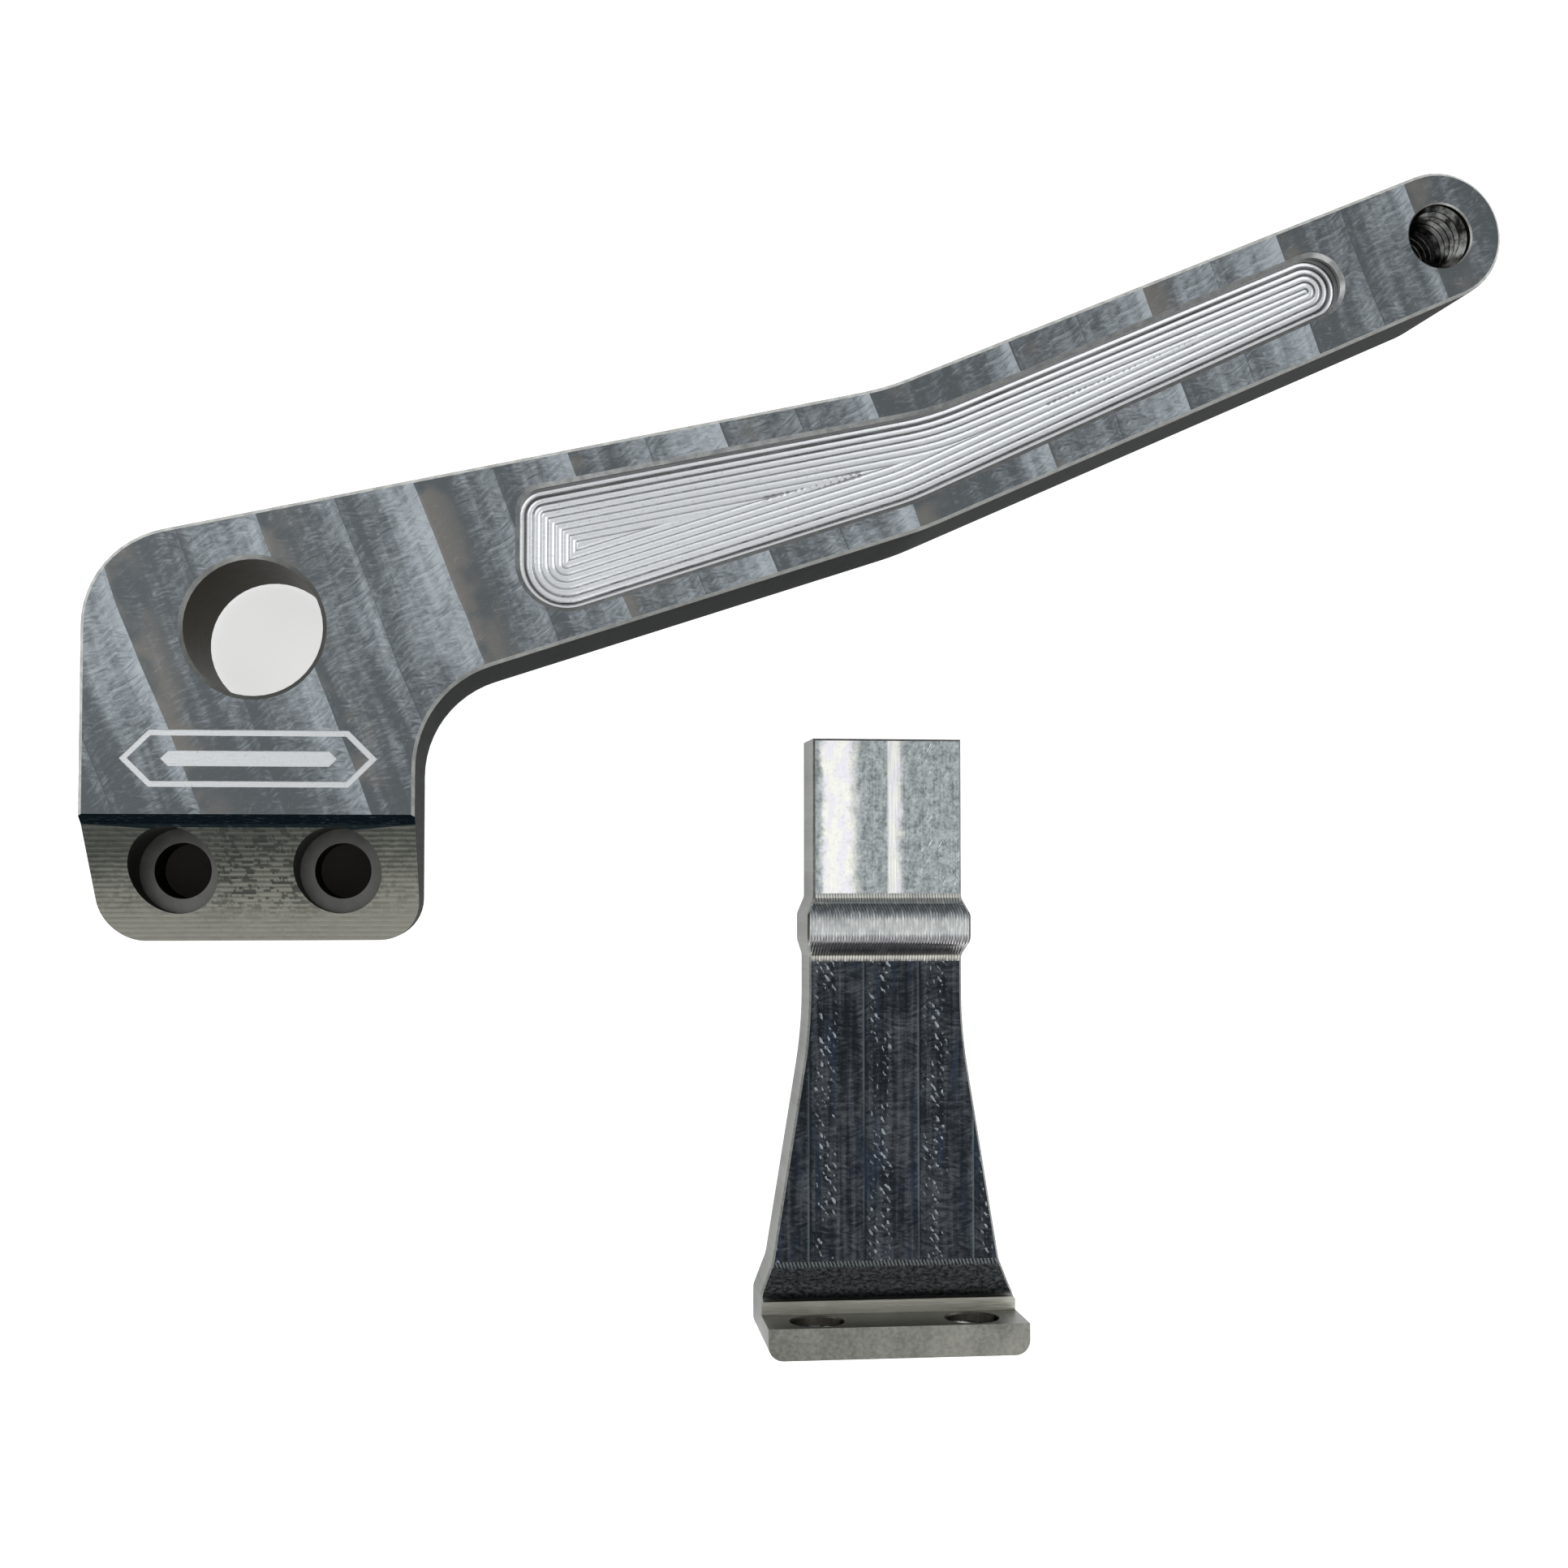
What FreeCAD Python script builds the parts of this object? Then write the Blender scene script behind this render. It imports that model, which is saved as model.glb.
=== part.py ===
"""Billet foot lever for brake or shift controls, as two loose machined pieces.

lever_arm        flat plate: pivot bore, bent arm with a recess, threaded peg hole, bolting foot
linkage_bracket  arm that bolts to the back of the foot: cap end, ridge, flared panel, tapped flange

Millimetres. Z points out of the lever's front face, X and Y lie in its back face, and the
origin is on the axis of the pivot bore at the back face. Both pieces lie on the plane Z = 0.
"""

import FreeCAD, Part
import math
import os

import Sketcher

Vector = FreeCAD.Vector

SHEET = "Sizes"

# How far an edge or face may be from where it is looked for.
NEAR = 0.01
RIM_NEAR = 0.05

# Every driving size in millimetres, every angle in degrees.
SIZES = {
    # the lever plate
    "plate_thick": 22.225,
    "edge_break": 0.4,
    "pivot_radius": 7.9375,
    "pivot_chamfer": 0.5,
    "reach": 152.4,
    "reach_angle": 19.43,
    "tip_radius": 7.94,
    "peg_radius": 3.97,
    "peg_chamfer": 0.2,
    # the edges of the arm, as distances from the pivot axis and slopes
    "upper_offset": 13.2,
    "upper_slope": 12.45,
    "upper_bend": 74.0,
    "upper_bend_radius": 32.0,
    "lower_offset": 12.55,
    "lower_slope": 18.3,
    "lower_bend": 78.7,
    "lower_bend_radius": 40.0,
    "heel_radius": 11.5,
    # the bolting foot
    "foot_left": 19.3,
    "foot_right": 18.6,
    "foot_drop": 36.6,
    "foot_corner": 5.0,
    "crotch_radius": 12.7,
    "bevel_start": 21.6,
    "bevel_run": 1.1,
    "bevel_fall": 1.9,
    "slant_fall": 13.9,
    "bolt_drop": 28.1,
    "bolt_half_pitch": 9.525,
    "bolt_shift": 0.3,
    "bolt_radius": 3.4,
    "head_radius": 5.15,
    "head_seat": 7.7,
    # the engraved border and bar above the foot
    "motif_drop": 15.2,
    "motif_half_length": 14.6,
    "motif_half_height": 3.3,
    "motif_inner_half_length": 13.61,
    "motif_inner_half_height": 2.6,
    "bar_half_length": 10.0,
    "bar_half_height": 0.9,
    "engrave_depth": 0.3,
    # the recess in the arm
    "recess_depth": 3.0,
    "recess_chamfer": 0.5,
    "recess_left": 30.5,
    "recess_upper_corner": 3.0,
    "recess_lower_corner": 5.5,
    "recess_upper_offset": 9.5,
    "recess_lower_offset": 9.05,
    "recess_upper_slope": 12.25,
    "recess_lower_slope": 18.5,
    "recess_upper_bend": 80.0,
    "recess_lower_bend": 77.5,
    "recess_end_across": 127.3,
    "recess_end_up": 43.9,
    "recess_end_radius": 3.6,
    "recess_bend_radius": 36.0,
    # the linkage bracket, measured from the outer face of its flange
    "bracket_across": 76.2,
    "bracket_down": 86.4,
    "bracket_length": 74.8,
    "cap_half_width": 9.35,
    "cap_height": 9.5,
    "ridge_half_width": 10.25,
    "ridge_height": 11.1,
    "ridge_start": 47.65,
    "ridge_crest_start": 49.6,
    "ridge_crest_end": 52.9,
    "ridge_end": 55.0,
    "ridge_blend": 1.5,
    "panel_half_width": 9.65,
    "panel_height": 7.9,
    "flare_start": 38.4,
    "flare_end": 9.7,
    "flare_half_width": 14.3,
    "flare_radius": 60.0,
    "flange_half_width": 15.875,
    "flange_side": 5.7,
    "flange_height": 18.2,
    "flange_thick": 3.8,
    "flange_corner": 1.8,
    "neck_radius": 4.0,
    "ledge_end": 5.4,
    "ledge_height": 10.1,
    "ledge_cove": 1.7,
    "top_edge_break": 0.25,
    "tap_height": 14.15,
    "tap_radius": 3.175,
    "tap_chamfer": 0.2,
    "clearance": 10.0,
}


def measure(text):
    """The number for a sum of named sizes, such as 'foot_left + edge_break'."""
    total = 0.0
    sign = 1.0
    for word in text.split():
        if word == "-":
            sign = -1.0
        elif word != "+":
            total += sign * SIZES[word]
            sign = 1.0
    return total


def formula(text):
    """The same sum as an expression on the spreadsheet's cells."""
    words = [word if word in "+-" else SHEET + "." + word for word in text.split()]
    return " ".join(words)


def write_sheet(doc):
    sheet = doc.addObject("Spreadsheet::Sheet", SHEET)
    for row, (alias, value) in enumerate(SIZES.items(), start=1):
        sheet.set("A%d" % row, alias)
        sheet.set("B%d" % row, str(value))
        sheet.setAlias("B%d" % row, alias)
    doc.recompute()
    return sheet


def new_body(doc, label):
    body = doc.addObject("PartDesign::Body", label)
    body.Label = label
    return body


def new_sketch(body, name, role):
    """An empty sketch on one of the body's own origin planes."""
    sketch = body.newObject("Sketcher::SketchObject", name)
    plane = [item for item in body.Origin.OriginFeatures if item.Role == role][0]
    sketch.AttachmentSupport = [(plane, "")]
    sketch.MapMode = "FlatFace"
    return sketch


def bind(sketch, index, text):
    sketch.setExpression("Constraints[%d]" % index, text)


def place(sketch, geometry, position, across, up):
    """Hold one point of a sketch at two sums of named sizes from the origin, or on an axis."""
    for kind, text, axis in (("DistanceX", across, -2), ("DistanceY", up, -1)):
        if text:
            rule = Sketcher.Constraint(kind, -1, 1, geometry, position, measure(text))
            bind(sketch, sketch.addConstraint(rule), formula(text))
        else:
            sketch.addConstraint(Sketcher.Constraint("PointOnObject", geometry, position, axis))


def draw_polygon(sketch, corners):
    """A closed outline of straight sides, every corner bound to named sizes."""
    points = [Vector(measure(across), measure(up), 0) for across, up in corners]
    sides = []
    for start, end in zip(points, points[1:] + points[:1]):
        sides.append(sketch.addGeometry(Part.LineSegment(start, end), False))
    for side, following in zip(sides, sides[1:] + sides[:1]):
        sketch.addConstraint(Sketcher.Constraint("Coincident", side, 2, following, 1))
    for side, (across, up) in zip(sides, corners):
        place(sketch, side, 1, across, up)


def draw_circle(sketch, across, up, radius):
    centre = Vector(measure(across), measure(up), 0)
    circle = sketch.addGeometry(Part.Circle(centre, Vector(0, 0, 1), measure(radius)), False)
    place(sketch, circle, 3, across, up)
    rule = Sketcher.Constraint("Radius", circle, measure(radius))
    bind(sketch, sketch.addConstraint(rule), formula(radius))


def line_from_offset(offset, slope):
    """A point and a direction of the line at a signed distance from the origin."""
    angle = math.radians(slope)
    direction = Vector(math.cos(angle), math.sin(angle), 0)
    return Vector(-direction.y, direction.x, 0) * offset, direction


def at_across(line, across):
    """The point of a line at one X."""
    point, direction = line
    return point + direction * ((across - point.x) / direction.x)


def tangent_point(start, centre, radius, side):
    """Where the line from start touches a circle, on its left (+1) or right (-1)."""
    toward = centre - start
    lean = side * math.asin(radius / toward.Length)
    heading = math.atan2(toward.y, toward.x) + lean
    reach = math.sqrt(toward.Length ** 2 - radius ** 2)
    return start + Vector(math.cos(heading), math.sin(heading), 0) * reach


def draw_arm(sketch, ends, upper, lower, nose):
    """The outline of a bent, round-nosed arm, closed on its left by the points in ends.

    ends is a list of (across, up) sums; upper and lower are (offset, slope, bend) names of the
    two long edges; nose is the centre and the radius of the round end.
    """
    upper_line = line_from_offset(measure(upper[0]), measure(upper[1]))
    lower_line = line_from_offset(-measure(lower[0]), measure(lower[1]))
    upper_bend = at_across(upper_line, measure(upper[2]))
    lower_bend = at_across(lower_line, measure(lower[2]))
    centre, centre_formulas, radius = nose
    size = measure(radius)
    upper_touch = tangent_point(upper_bend, centre, size, 1.0)
    lower_touch = tangent_point(lower_bend, centre, size, -1.0)
    upper_left = at_across(upper_line, measure(ends[0][0]))
    lower_left = at_across(lower_line, measure(ends[-1][0]))
    left = [Vector(measure(across), measure(up), 0) for across, up in ends[1:-1]]
    chain = [lower_touch, lower_bend, lower_left] + left[::-1] + [upper_left, upper_bend, upper_touch]
    sides = []
    for start, end in zip(chain, chain[1:]):
        sides.append(sketch.addGeometry(Part.LineSegment(start, end), False))
    low_angle = math.atan2(lower_touch.y - centre.y, lower_touch.x - centre.x)
    high_angle = math.atan2(upper_touch.y - centre.y, upper_touch.x - centre.x)
    circle = Part.Circle(centre, Vector(0, 0, 1), size)
    arc = sketch.addGeometry(Part.ArcOfCircle(circle, low_angle, high_angle), False)
    for side, following in zip(sides, sides[1:]):
        sketch.addConstraint(Sketcher.Constraint("Coincident", side, 2, following, 1))
    sketch.addConstraint(Sketcher.Constraint("Tangent", sides[0], 1, arc, 1))
    sketch.addConstraint(Sketcher.Constraint("Tangent", sides[-1], 2, arc, 2))
    rule = Sketcher.Constraint("Radius", arc, size)
    bind(sketch, sketch.addConstraint(rule), formula(radius))
    for kind, text, value in zip(("DistanceX", "DistanceY"), centre_formulas, (centre.x, centre.y)):
        rule = Sketcher.Constraint(kind, -1, 1, arc, 3, value)
        bind(sketch, sketch.addConstraint(rule), text)
    upper_side = sides[-2]
    lower_side = sides[1]
    for side, (offset, slope, bend), bend_end in ((upper_side, upper, 2), (lower_side, lower, 1)):
        rule = Sketcher.Constraint("Distance", -1, 1, side, measure(offset))
        bind(sketch, sketch.addConstraint(rule), formula(offset))
        turn = math.radians(measure(slope))
        if bend_end == 1:
            turn -= math.pi
            text = formula(slope) + " * 1 deg - 180 deg"
        else:
            text = formula(slope) + " * 1 deg"
        bind(sketch, sketch.addConstraint(Sketcher.Constraint("Angle", side, turn)), text)
        rule = Sketcher.Constraint("DistanceX", -1, 1, side, bend_end, measure(bend))
        bind(sketch, sketch.addConstraint(rule), formula(bend))
    end_sides = sides[2:-2]
    rule = Sketcher.Constraint("DistanceX", -1, 1, end_sides[0], 1, measure(ends[-1][0]))
    bind(sketch, sketch.addConstraint(rule), formula(ends[-1][0]))
    if len(end_sides) == 1:
        sketch.addConstraint(Sketcher.Constraint("Vertical", end_sides[0]))
    else:
        rule = Sketcher.Constraint("DistanceX", -1, 1, end_sides[-1], 2, measure(ends[0][0]))
        bind(sketch, sketch.addConstraint(rule), formula(ends[0][0]))
    for side, (across, up) in zip(end_sides[1:], ends[1:-1][::-1]):
        place(sketch, side, 1, across, up)
    return [upper_left, upper_bend, lower_bend, lower_left] + left


def draw_pointed_bar(sketch, middle, level, half_length, half_height):
    """A long six-sided outline with a point at each end."""
    shoulder = half_length + " - " + half_height
    draw_polygon(sketch, [
        (middle + " + " + half_length, level),
        (middle + " + " + shoulder, level + " + " + half_height),
        (middle + " - " + half_length + " + " + half_height, level + " + " + half_height),
        (middle + " - " + half_length, level),
        (middle + " - " + half_length + " + " + half_height, level + " - " + half_height),
        (middle + " + " + shoulder, level + " - " + half_height),
    ])


def add_pad(body, sketch, name, length):
    pad = body.newObject("PartDesign::Pad", name)
    pad.Profile = sketch
    pad.setExpression("Length", formula(length))
    return pad


def add_cut(body, sketch, name, length=None, reverse=False, both_ways=False):
    """A pocket through everything, or to a named depth."""
    cut = body.newObject("PartDesign::Pocket", name)
    cut.Profile = sketch
    if length is None:
        cut.Type = "ThroughAll"
    else:
        cut.Type = "Length"
        cut.setExpression("Length", formula(length))
    cut.Reversed = reverse
    if both_ways:
        cut.SideType = "Symmetric"
    return cut


def add_dress(body, kind, name, base, edges, size):
    """A fillet or chamfer on edges of base, its size bound to a cell."""
    dress = body.newObject("PartDesign::" + kind, name)
    dress.Base = (base, edges)
    dress.setExpression("Radius" if kind == "Fillet" else "Size", formula(size))
    body.Document.recompute()
    return dress


def edge_names(shape, test):
    return ["Edge%d" % number for number, edge in enumerate(shape.Edges, start=1) if test(edge)]


def upright_edges(shape, corner):
    """Names of the straight edges along Z that stand at a corner."""
    def stands_there(edge):
        ends = [vertex.Point for vertex in edge.Vertexes]
        if len(ends) != 2:
            return False
        flat = [Vector(point.x, point.y, 0) for point in ends]
        return max(point.distanceToPoint(Vector(corner.x, corner.y, 0)) for point in flat) < NEAR
    return edge_names(shape, stands_there)


def crosswise_edges(shape, across_y, height):
    """Names of the straight edges along X at one Y and one Z."""
    def runs_there(edge):
        ends = [vertex.Point for vertex in edge.Vertexes]
        if len(ends) != 2:
            return False
        return all(abs(point.y - across_y) < NEAR and abs(point.z - height) < NEAR for point in ends)
    return edge_names(shape, runs_there)


def level_edges(shape, height, centre, radius):
    """Names of the circles of one radius about one centre at one height."""
    def is_rim(edge):
        box = edge.BoundBox
        middle = Vector((box.XMin + box.XMax) / 2, (box.YMin + box.YMax) / 2, 0)
        flat = abs(box.ZMin - height) < NEAR and abs(box.ZMax - height) < NEAR
        same_size = abs(box.XLength - 2 * radius) < RIM_NEAR
        return flat and same_size and middle.distanceToPoint(centre) < RIM_NEAR
    return edge_names(shape, is_rim)


def flat_face(shape, height):
    """The largest face that lies level at one height."""
    faces = [face for face in shape.Faces if face.BoundBox.ZLength < NEAR
             and abs(face.BoundBox.ZMin - height) < NEAR]
    return max(faces, key=lambda face: face.Area)


def wire_edges(shape, wire, skip_y=None):
    """Names of a wire's edges, without the straight side along X at skip_y."""
    def in_wire(edge):
        if skip_y is not None and abs(edge.BoundBox.Center.y - skip_y) < NEAR:
            return False
        return any(edge.isSame(item) for item in wire.Edges)
    return edge_names(shape, in_wire)


def make_lever(doc):
    body = new_body(doc, "lever_arm")
    outline = new_sketch(body, "LeverOutline", "XY_Plane")
    reach = measure("reach")
    lean = math.radians(measure("reach_angle"))
    peg = Vector(reach * math.cos(lean), reach * math.sin(lean), 0)
    peg_formulas = ("Sizes.reach * cos(Sizes.reach_angle * 1 deg)",
                    "Sizes.reach * sin(Sizes.reach_angle * 1 deg)")
    ends = [("- foot_left", ""), ("- foot_left", "- foot_drop"),
            ("foot_right", "- foot_drop"), ("foot_right", "")]
    corners = draw_arm(outline, ends, ("upper_offset", "upper_slope", "upper_bend"),
                       ("lower_offset", "lower_slope", "lower_bend"),
                       (peg, peg_formulas, "tip_radius"))
    tip = add_pad(body, outline, "Plate", "plate_thick")
    doc.recompute()
    heel, upper_bend, lower_bend, crotch, foot_left, foot_right = corners
    rounds = (("HeelRound", [heel], "heel_radius"), ("UpperBend", [upper_bend], "upper_bend_radius"),
              ("LowerBend", [lower_bend], "lower_bend_radius"),
              ("CrotchRound", [crotch], "crotch_radius"),
              ("FootRounds", [foot_left, foot_right], "foot_corner"))
    for name, places, radius in rounds:
        edges = [edge for corner in places for edge in upright_edges(tip.Shape, corner)]
        tip = add_dress(body, "Fillet", name, tip, edges, radius)

    slant = new_sketch(body, "SlantProfile", "YZ_Plane")
    low = "plate_thick - bevel_fall - slant_fall"
    draw_polygon(slant, [
        ("- bevel_start", "plate_thick"),
        ("- bevel_start - bevel_run", "plate_thick - bevel_fall"),
        ("- foot_drop", low),
        ("- foot_drop - clearance", low),
        ("- foot_drop - clearance", "plate_thick + clearance"),
        ("- bevel_start", "plate_thick + clearance"),
    ])
    tip = add_cut(body, slant, "SlantCut", both_ways=True)
    doc.recompute()

    bores = new_sketch(body, "ThroughHoles", "XY_Plane")
    pivot = bores.addGeometry(Part.Circle(Vector(0, 0, 0), Vector(0, 0, 1), measure("pivot_radius")), False)
    bores.addConstraint(Sketcher.Constraint("Coincident", pivot, 3, -1, 1))
    rule = Sketcher.Constraint("Radius", pivot, measure("pivot_radius"))
    bind(bores, bores.addConstraint(rule), formula("pivot_radius"))
    thread = bores.addGeometry(Part.Circle(peg, Vector(0, 0, 1), measure("peg_radius")), False)
    for kind, text, value in zip(("DistanceX", "DistanceY"), peg_formulas, (peg.x, peg.y)):
        bind(bores, bores.addConstraint(Sketcher.Constraint(kind, -1, 1, thread, 3, value)), text)
    rule = Sketcher.Constraint("Radius", thread, measure("peg_radius"))
    bind(bores, bores.addConstraint(rule), formula("peg_radius"))
    bolt_places = ("- bolt_half_pitch - bolt_shift", "bolt_half_pitch - bolt_shift")
    for across in bolt_places:
        draw_circle(bores, across, "- bolt_drop", "bolt_radius")
    tip = add_cut(body, bores, "ThroughCuts", reverse=True)

    heads = new_sketch(body, "HeadSeats", "XY_Plane")
    heads.setExpression("AttachmentOffset.Base.z", formula("head_seat"))
    for across in bolt_places:
        draw_circle(heads, across, "- bolt_drop", "head_radius")
    tip = add_cut(body, heads, "HeadCuts", reverse=True)

    recess = new_sketch(body, "RecessOutline", "XY_Plane")
    recess.setExpression("AttachmentOffset.Base.z", formula("plate_thick - recess_depth"))
    nose = Vector(measure("recess_end_across"), measure("recess_end_up"), 0)
    nose_formulas = (formula("recess_end_across"), formula("recess_end_up"))
    recess_ends = [("recess_left", ""), ("recess_left", "")]
    corners = draw_arm(recess, recess_ends,
                       ("recess_upper_offset", "recess_upper_slope", "recess_upper_bend"),
                       ("recess_lower_offset", "recess_lower_slope", "recess_lower_bend"),
                       (nose, nose_formulas, "recess_end_radius"))
    tip = add_cut(body, recess, "Recess", reverse=True)
    doc.recompute()
    upper_left, upper_bend, lower_bend, lower_left = corners
    rounds = (("RecessUpperCorner", [upper_left], "recess_upper_corner"),
              ("RecessLowerCorner", [lower_left], "recess_lower_corner"),
              ("RecessBends", [upper_bend, lower_bend], "recess_bend_radius"))
    for name, places, radius in rounds:
        edges = [edge for corner in places for edge in upright_edges(tip.Shape, corner)]
        tip = add_dress(body, "Fillet", name, tip, edges, radius)

    motif = new_sketch(body, "Engraving", "XY_Plane")
    motif.setExpression("AttachmentOffset.Base.z", formula("plate_thick - engrave_depth"))
    for half_length, half_height in (("motif_half_length", "motif_half_height"),
                                     ("motif_inner_half_length", "motif_inner_half_height"),
                                     ("bar_half_length", "bar_half_height")):
        draw_pointed_bar(motif, "- bolt_shift", "- motif_drop", half_length, half_height)
    tip = add_cut(body, motif, "EngravingCut", reverse=True)
    doc.recompute()

    top = measure("plate_thick")
    centre = Vector(0, 0, 0)
    edges = level_edges(tip.Shape, top, centre, measure("pivot_radius"))
    edges += level_edges(tip.Shape, 0.0, centre, measure("pivot_radius"))
    tip = add_dress(body, "Chamfer", "PivotChamfers", tip, edges, "pivot_chamfer")
    edges = level_edges(tip.Shape, top, peg, measure("peg_radius"))
    edges += level_edges(tip.Shape, 0.0, peg, measure("peg_radius"))
    tip = add_dress(body, "Chamfer", "PegChamfers", tip, edges, "peg_chamfer")

    front = flat_face(tip.Shape, top)
    openings = [wire for wire in front.Wires if not wire.isSame(front.OuterWire)]
    rim = max(openings, key=lambda wire: wire.Length)
    tip = add_dress(body, "Chamfer", "RecessChamfer", tip, wire_edges(tip.Shape, rim), "recess_chamfer")

    outer = flat_face(tip.Shape, top).OuterWire
    edges = wire_edges(tip.Shape, outer, skip_y=-measure("bevel_start"))
    tip = add_dress(body, "Chamfer", "FrontEdgeBreak", tip, edges, "edge_break")
    edges = wire_edges(tip.Shape, flat_face(tip.Shape, 0.0).OuterWire)
    tip = add_dress(body, "Chamfer", "BackEdgeBreak", tip, edges, "edge_break")
    body.Tip = tip
    return body


def make_bracket(doc):
    body = new_body(doc, "linkage_bracket")
    plan = new_sketch(body, "BracketPlan", "XY_Plane")
    half = [
        ("cap_half_width", "bracket_length"),
        ("cap_half_width", "ridge_end"),
        ("ridge_half_width", "ridge_crest_end"),
        ("ridge_half_width", "ridge_crest_start"),
        ("panel_half_width", "ridge_start"),
        ("panel_half_width", "flare_start"),
        ("flare_half_width", "flare_end"),
        ("flange_half_width", "flange_side"),
        ("flange_half_width", ""),
    ]
    mirrored = [("- " + across, up) for across, up in half[::-1]]
    draw_polygon(plan, half + mirrored)
    tip = add_pad(body, plan, "BracketBlank", "flange_height")
    doc.recompute()

    def both(across, up):
        return [Vector(sign * measure(across), measure(up), 0) for sign in (1, -1)]

    bulge = [corner for pair in half[1:5] for corner in both(*pair)]
    rounds = (("RidgeSideBlends", bulge, "ridge_blend"),
              ("FlareBlend", both(*half[5]), "flare_radius"),
              ("NeckBlend", both(*half[6]), "neck_radius"),
              ("FlangeShoulder", both(*half[7]), "flange_corner"),
              ("FlangeCorners", both(*half[8]), "flange_corner"))
    for name, places, radius in rounds:
        edges = [edge for corner in places for edge in upright_edges(tip.Shape, corner)]
        tip = add_dress(body, "Fillet", name, tip, edges, radius)

    profile = new_sketch(body, "TopProfile", "YZ_Plane")
    draw_polygon(profile, [
        ("flange_thick", "flange_height + clearance"),
        ("flange_thick", "ledge_height"),
        ("ledge_end", "ledge_height"),
        ("ledge_end", "panel_height"),
        ("ridge_start", "panel_height"),
        ("ridge_crest_start", "ridge_height"),
        ("ridge_crest_end", "ridge_height"),
        ("ridge_end", "cap_height"),
        ("bracket_length + clearance", "cap_height"),
        ("bracket_length + clearance", "flange_height + clearance"),
    ])
    tip = add_cut(body, profile, "TopCut", both_ways=True)
    doc.recompute()
    ridge = [("ridge_start", "panel_height"), ("ridge_crest_start", "ridge_height"),
             ("ridge_crest_end", "ridge_height"), ("ridge_end", "cap_height")]
    for number, (along, height) in enumerate(ridge, start=1):
        edges = crosswise_edges(tip.Shape, measure(along), measure(height))
        tip = add_dress(body, "Fillet", "RidgeBlend%d" % number, tip, edges, "ridge_blend")
    edges = crosswise_edges(tip.Shape, measure("ledge_end"), measure("panel_height"))
    tip = add_dress(body, "Fillet", "LedgeCove", tip, edges, "ledge_cove")

    cap = flat_face(tip.Shape, measure("cap_height"))
    edges = wire_edges(tip.Shape, cap.OuterWire, cap.BoundBox.YMin)
    tip = add_dress(body, "Chamfer", "TopEdgeBreak", tip, edges, "top_edge_break")

    taps = new_sketch(body, "TapHoles", "XZ_Plane")
    for across in ("- bolt_half_pitch", "bolt_half_pitch"):
        draw_circle(taps, across, "tap_height", "tap_radius")
    tip = add_cut(body, taps, "TapCuts", length="flange_thick")
    doc.recompute()

    def on_inner_mouth(edge):
        box = edge.BoundBox
        flat = abs(box.YMin - measure("flange_thick")) < NEAR and box.YLength < NEAR
        return flat and abs(box.XLength - 2 * measure("tap_radius")) < RIM_NEAR
    tip = add_dress(body, "Chamfer", "TapChamfers", tip, edge_names(tip.Shape, on_inner_mouth),
                    "tap_chamfer")
    body.Tip = tip
    body.Placement = FreeCAD.Placement(Vector(measure("bracket_across"), -measure("bracket_down"), 0),
                                       FreeCAD.Rotation())
    return body


def main():
    os.makedirs("parts", exist_ok=True)
    doc = FreeCAD.newDocument("FootLever")
    write_sheet(doc)
    bodies = [make_lever(doc), make_bracket(doc)]
    doc.recompute()
    for item in doc.Objects:
        if "Invalid" in item.State or "Error" in item.State:
            raise RuntimeError(item.Name + " did not compute")
    for body in bodies:
        if body.Shape.isNull() or not body.Shape.isValid():
            raise RuntimeError(body.Label + " has no valid shape")
    for body in bodies:
        body.Shape.exportStep("parts/%s.step" % body.Label)
        box = body.Shape.BoundBox
        print(body.Label, "%.1f x %.1f x %.1f mm" % (box.XLength, box.YLength, box.ZLength),
              "%.0f mm3" % body.Shape.Volume, len(body.Shape.Solids), "solid")


main()
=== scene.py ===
"""Milled brake shift lever with its linkage bracket, laid flat on a pale floor.

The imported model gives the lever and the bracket. This add-on copies each into a
finished piece, cuts the tool marks that are deep enough to see as real ridges,
and gives each machined surface its own finish.
"""

import math

import bmesh
import bpy
import numpy as np
from mathutils import Matrix, Vector
from mathutils.bvhtree import BVHTree


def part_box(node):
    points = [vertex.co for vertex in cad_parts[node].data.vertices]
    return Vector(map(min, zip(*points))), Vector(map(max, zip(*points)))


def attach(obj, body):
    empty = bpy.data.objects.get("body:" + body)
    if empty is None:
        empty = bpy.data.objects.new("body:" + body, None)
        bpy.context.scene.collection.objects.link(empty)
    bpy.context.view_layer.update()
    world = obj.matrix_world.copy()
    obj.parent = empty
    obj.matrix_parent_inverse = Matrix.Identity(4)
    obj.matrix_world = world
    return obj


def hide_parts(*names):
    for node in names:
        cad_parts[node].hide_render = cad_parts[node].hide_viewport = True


bl_info = {
    "name": "Milled Shift Lever",
    "version": (1, 0, 0),
    "blender": (4, 5, 0),
    "location": "View3D > Sidebar > Shift Lever",
    "description": "Builds the milled lever arm, its linkage bracket and their tool marks",
    "category": "Add Mesh",
}

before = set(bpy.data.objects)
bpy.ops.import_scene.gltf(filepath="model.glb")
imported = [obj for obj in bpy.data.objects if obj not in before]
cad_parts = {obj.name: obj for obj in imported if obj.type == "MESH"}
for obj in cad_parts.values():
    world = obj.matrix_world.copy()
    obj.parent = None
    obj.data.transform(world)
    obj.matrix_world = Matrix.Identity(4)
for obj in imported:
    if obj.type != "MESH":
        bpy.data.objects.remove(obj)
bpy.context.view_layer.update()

MILLIMETRE = 0.001

LEVER_NODE = "lever_arm"
BRACKET_NODE = "linkage_bracket"
LEVER_BODY = "lever"
BRACKET_BODY = "bracket"

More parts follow.
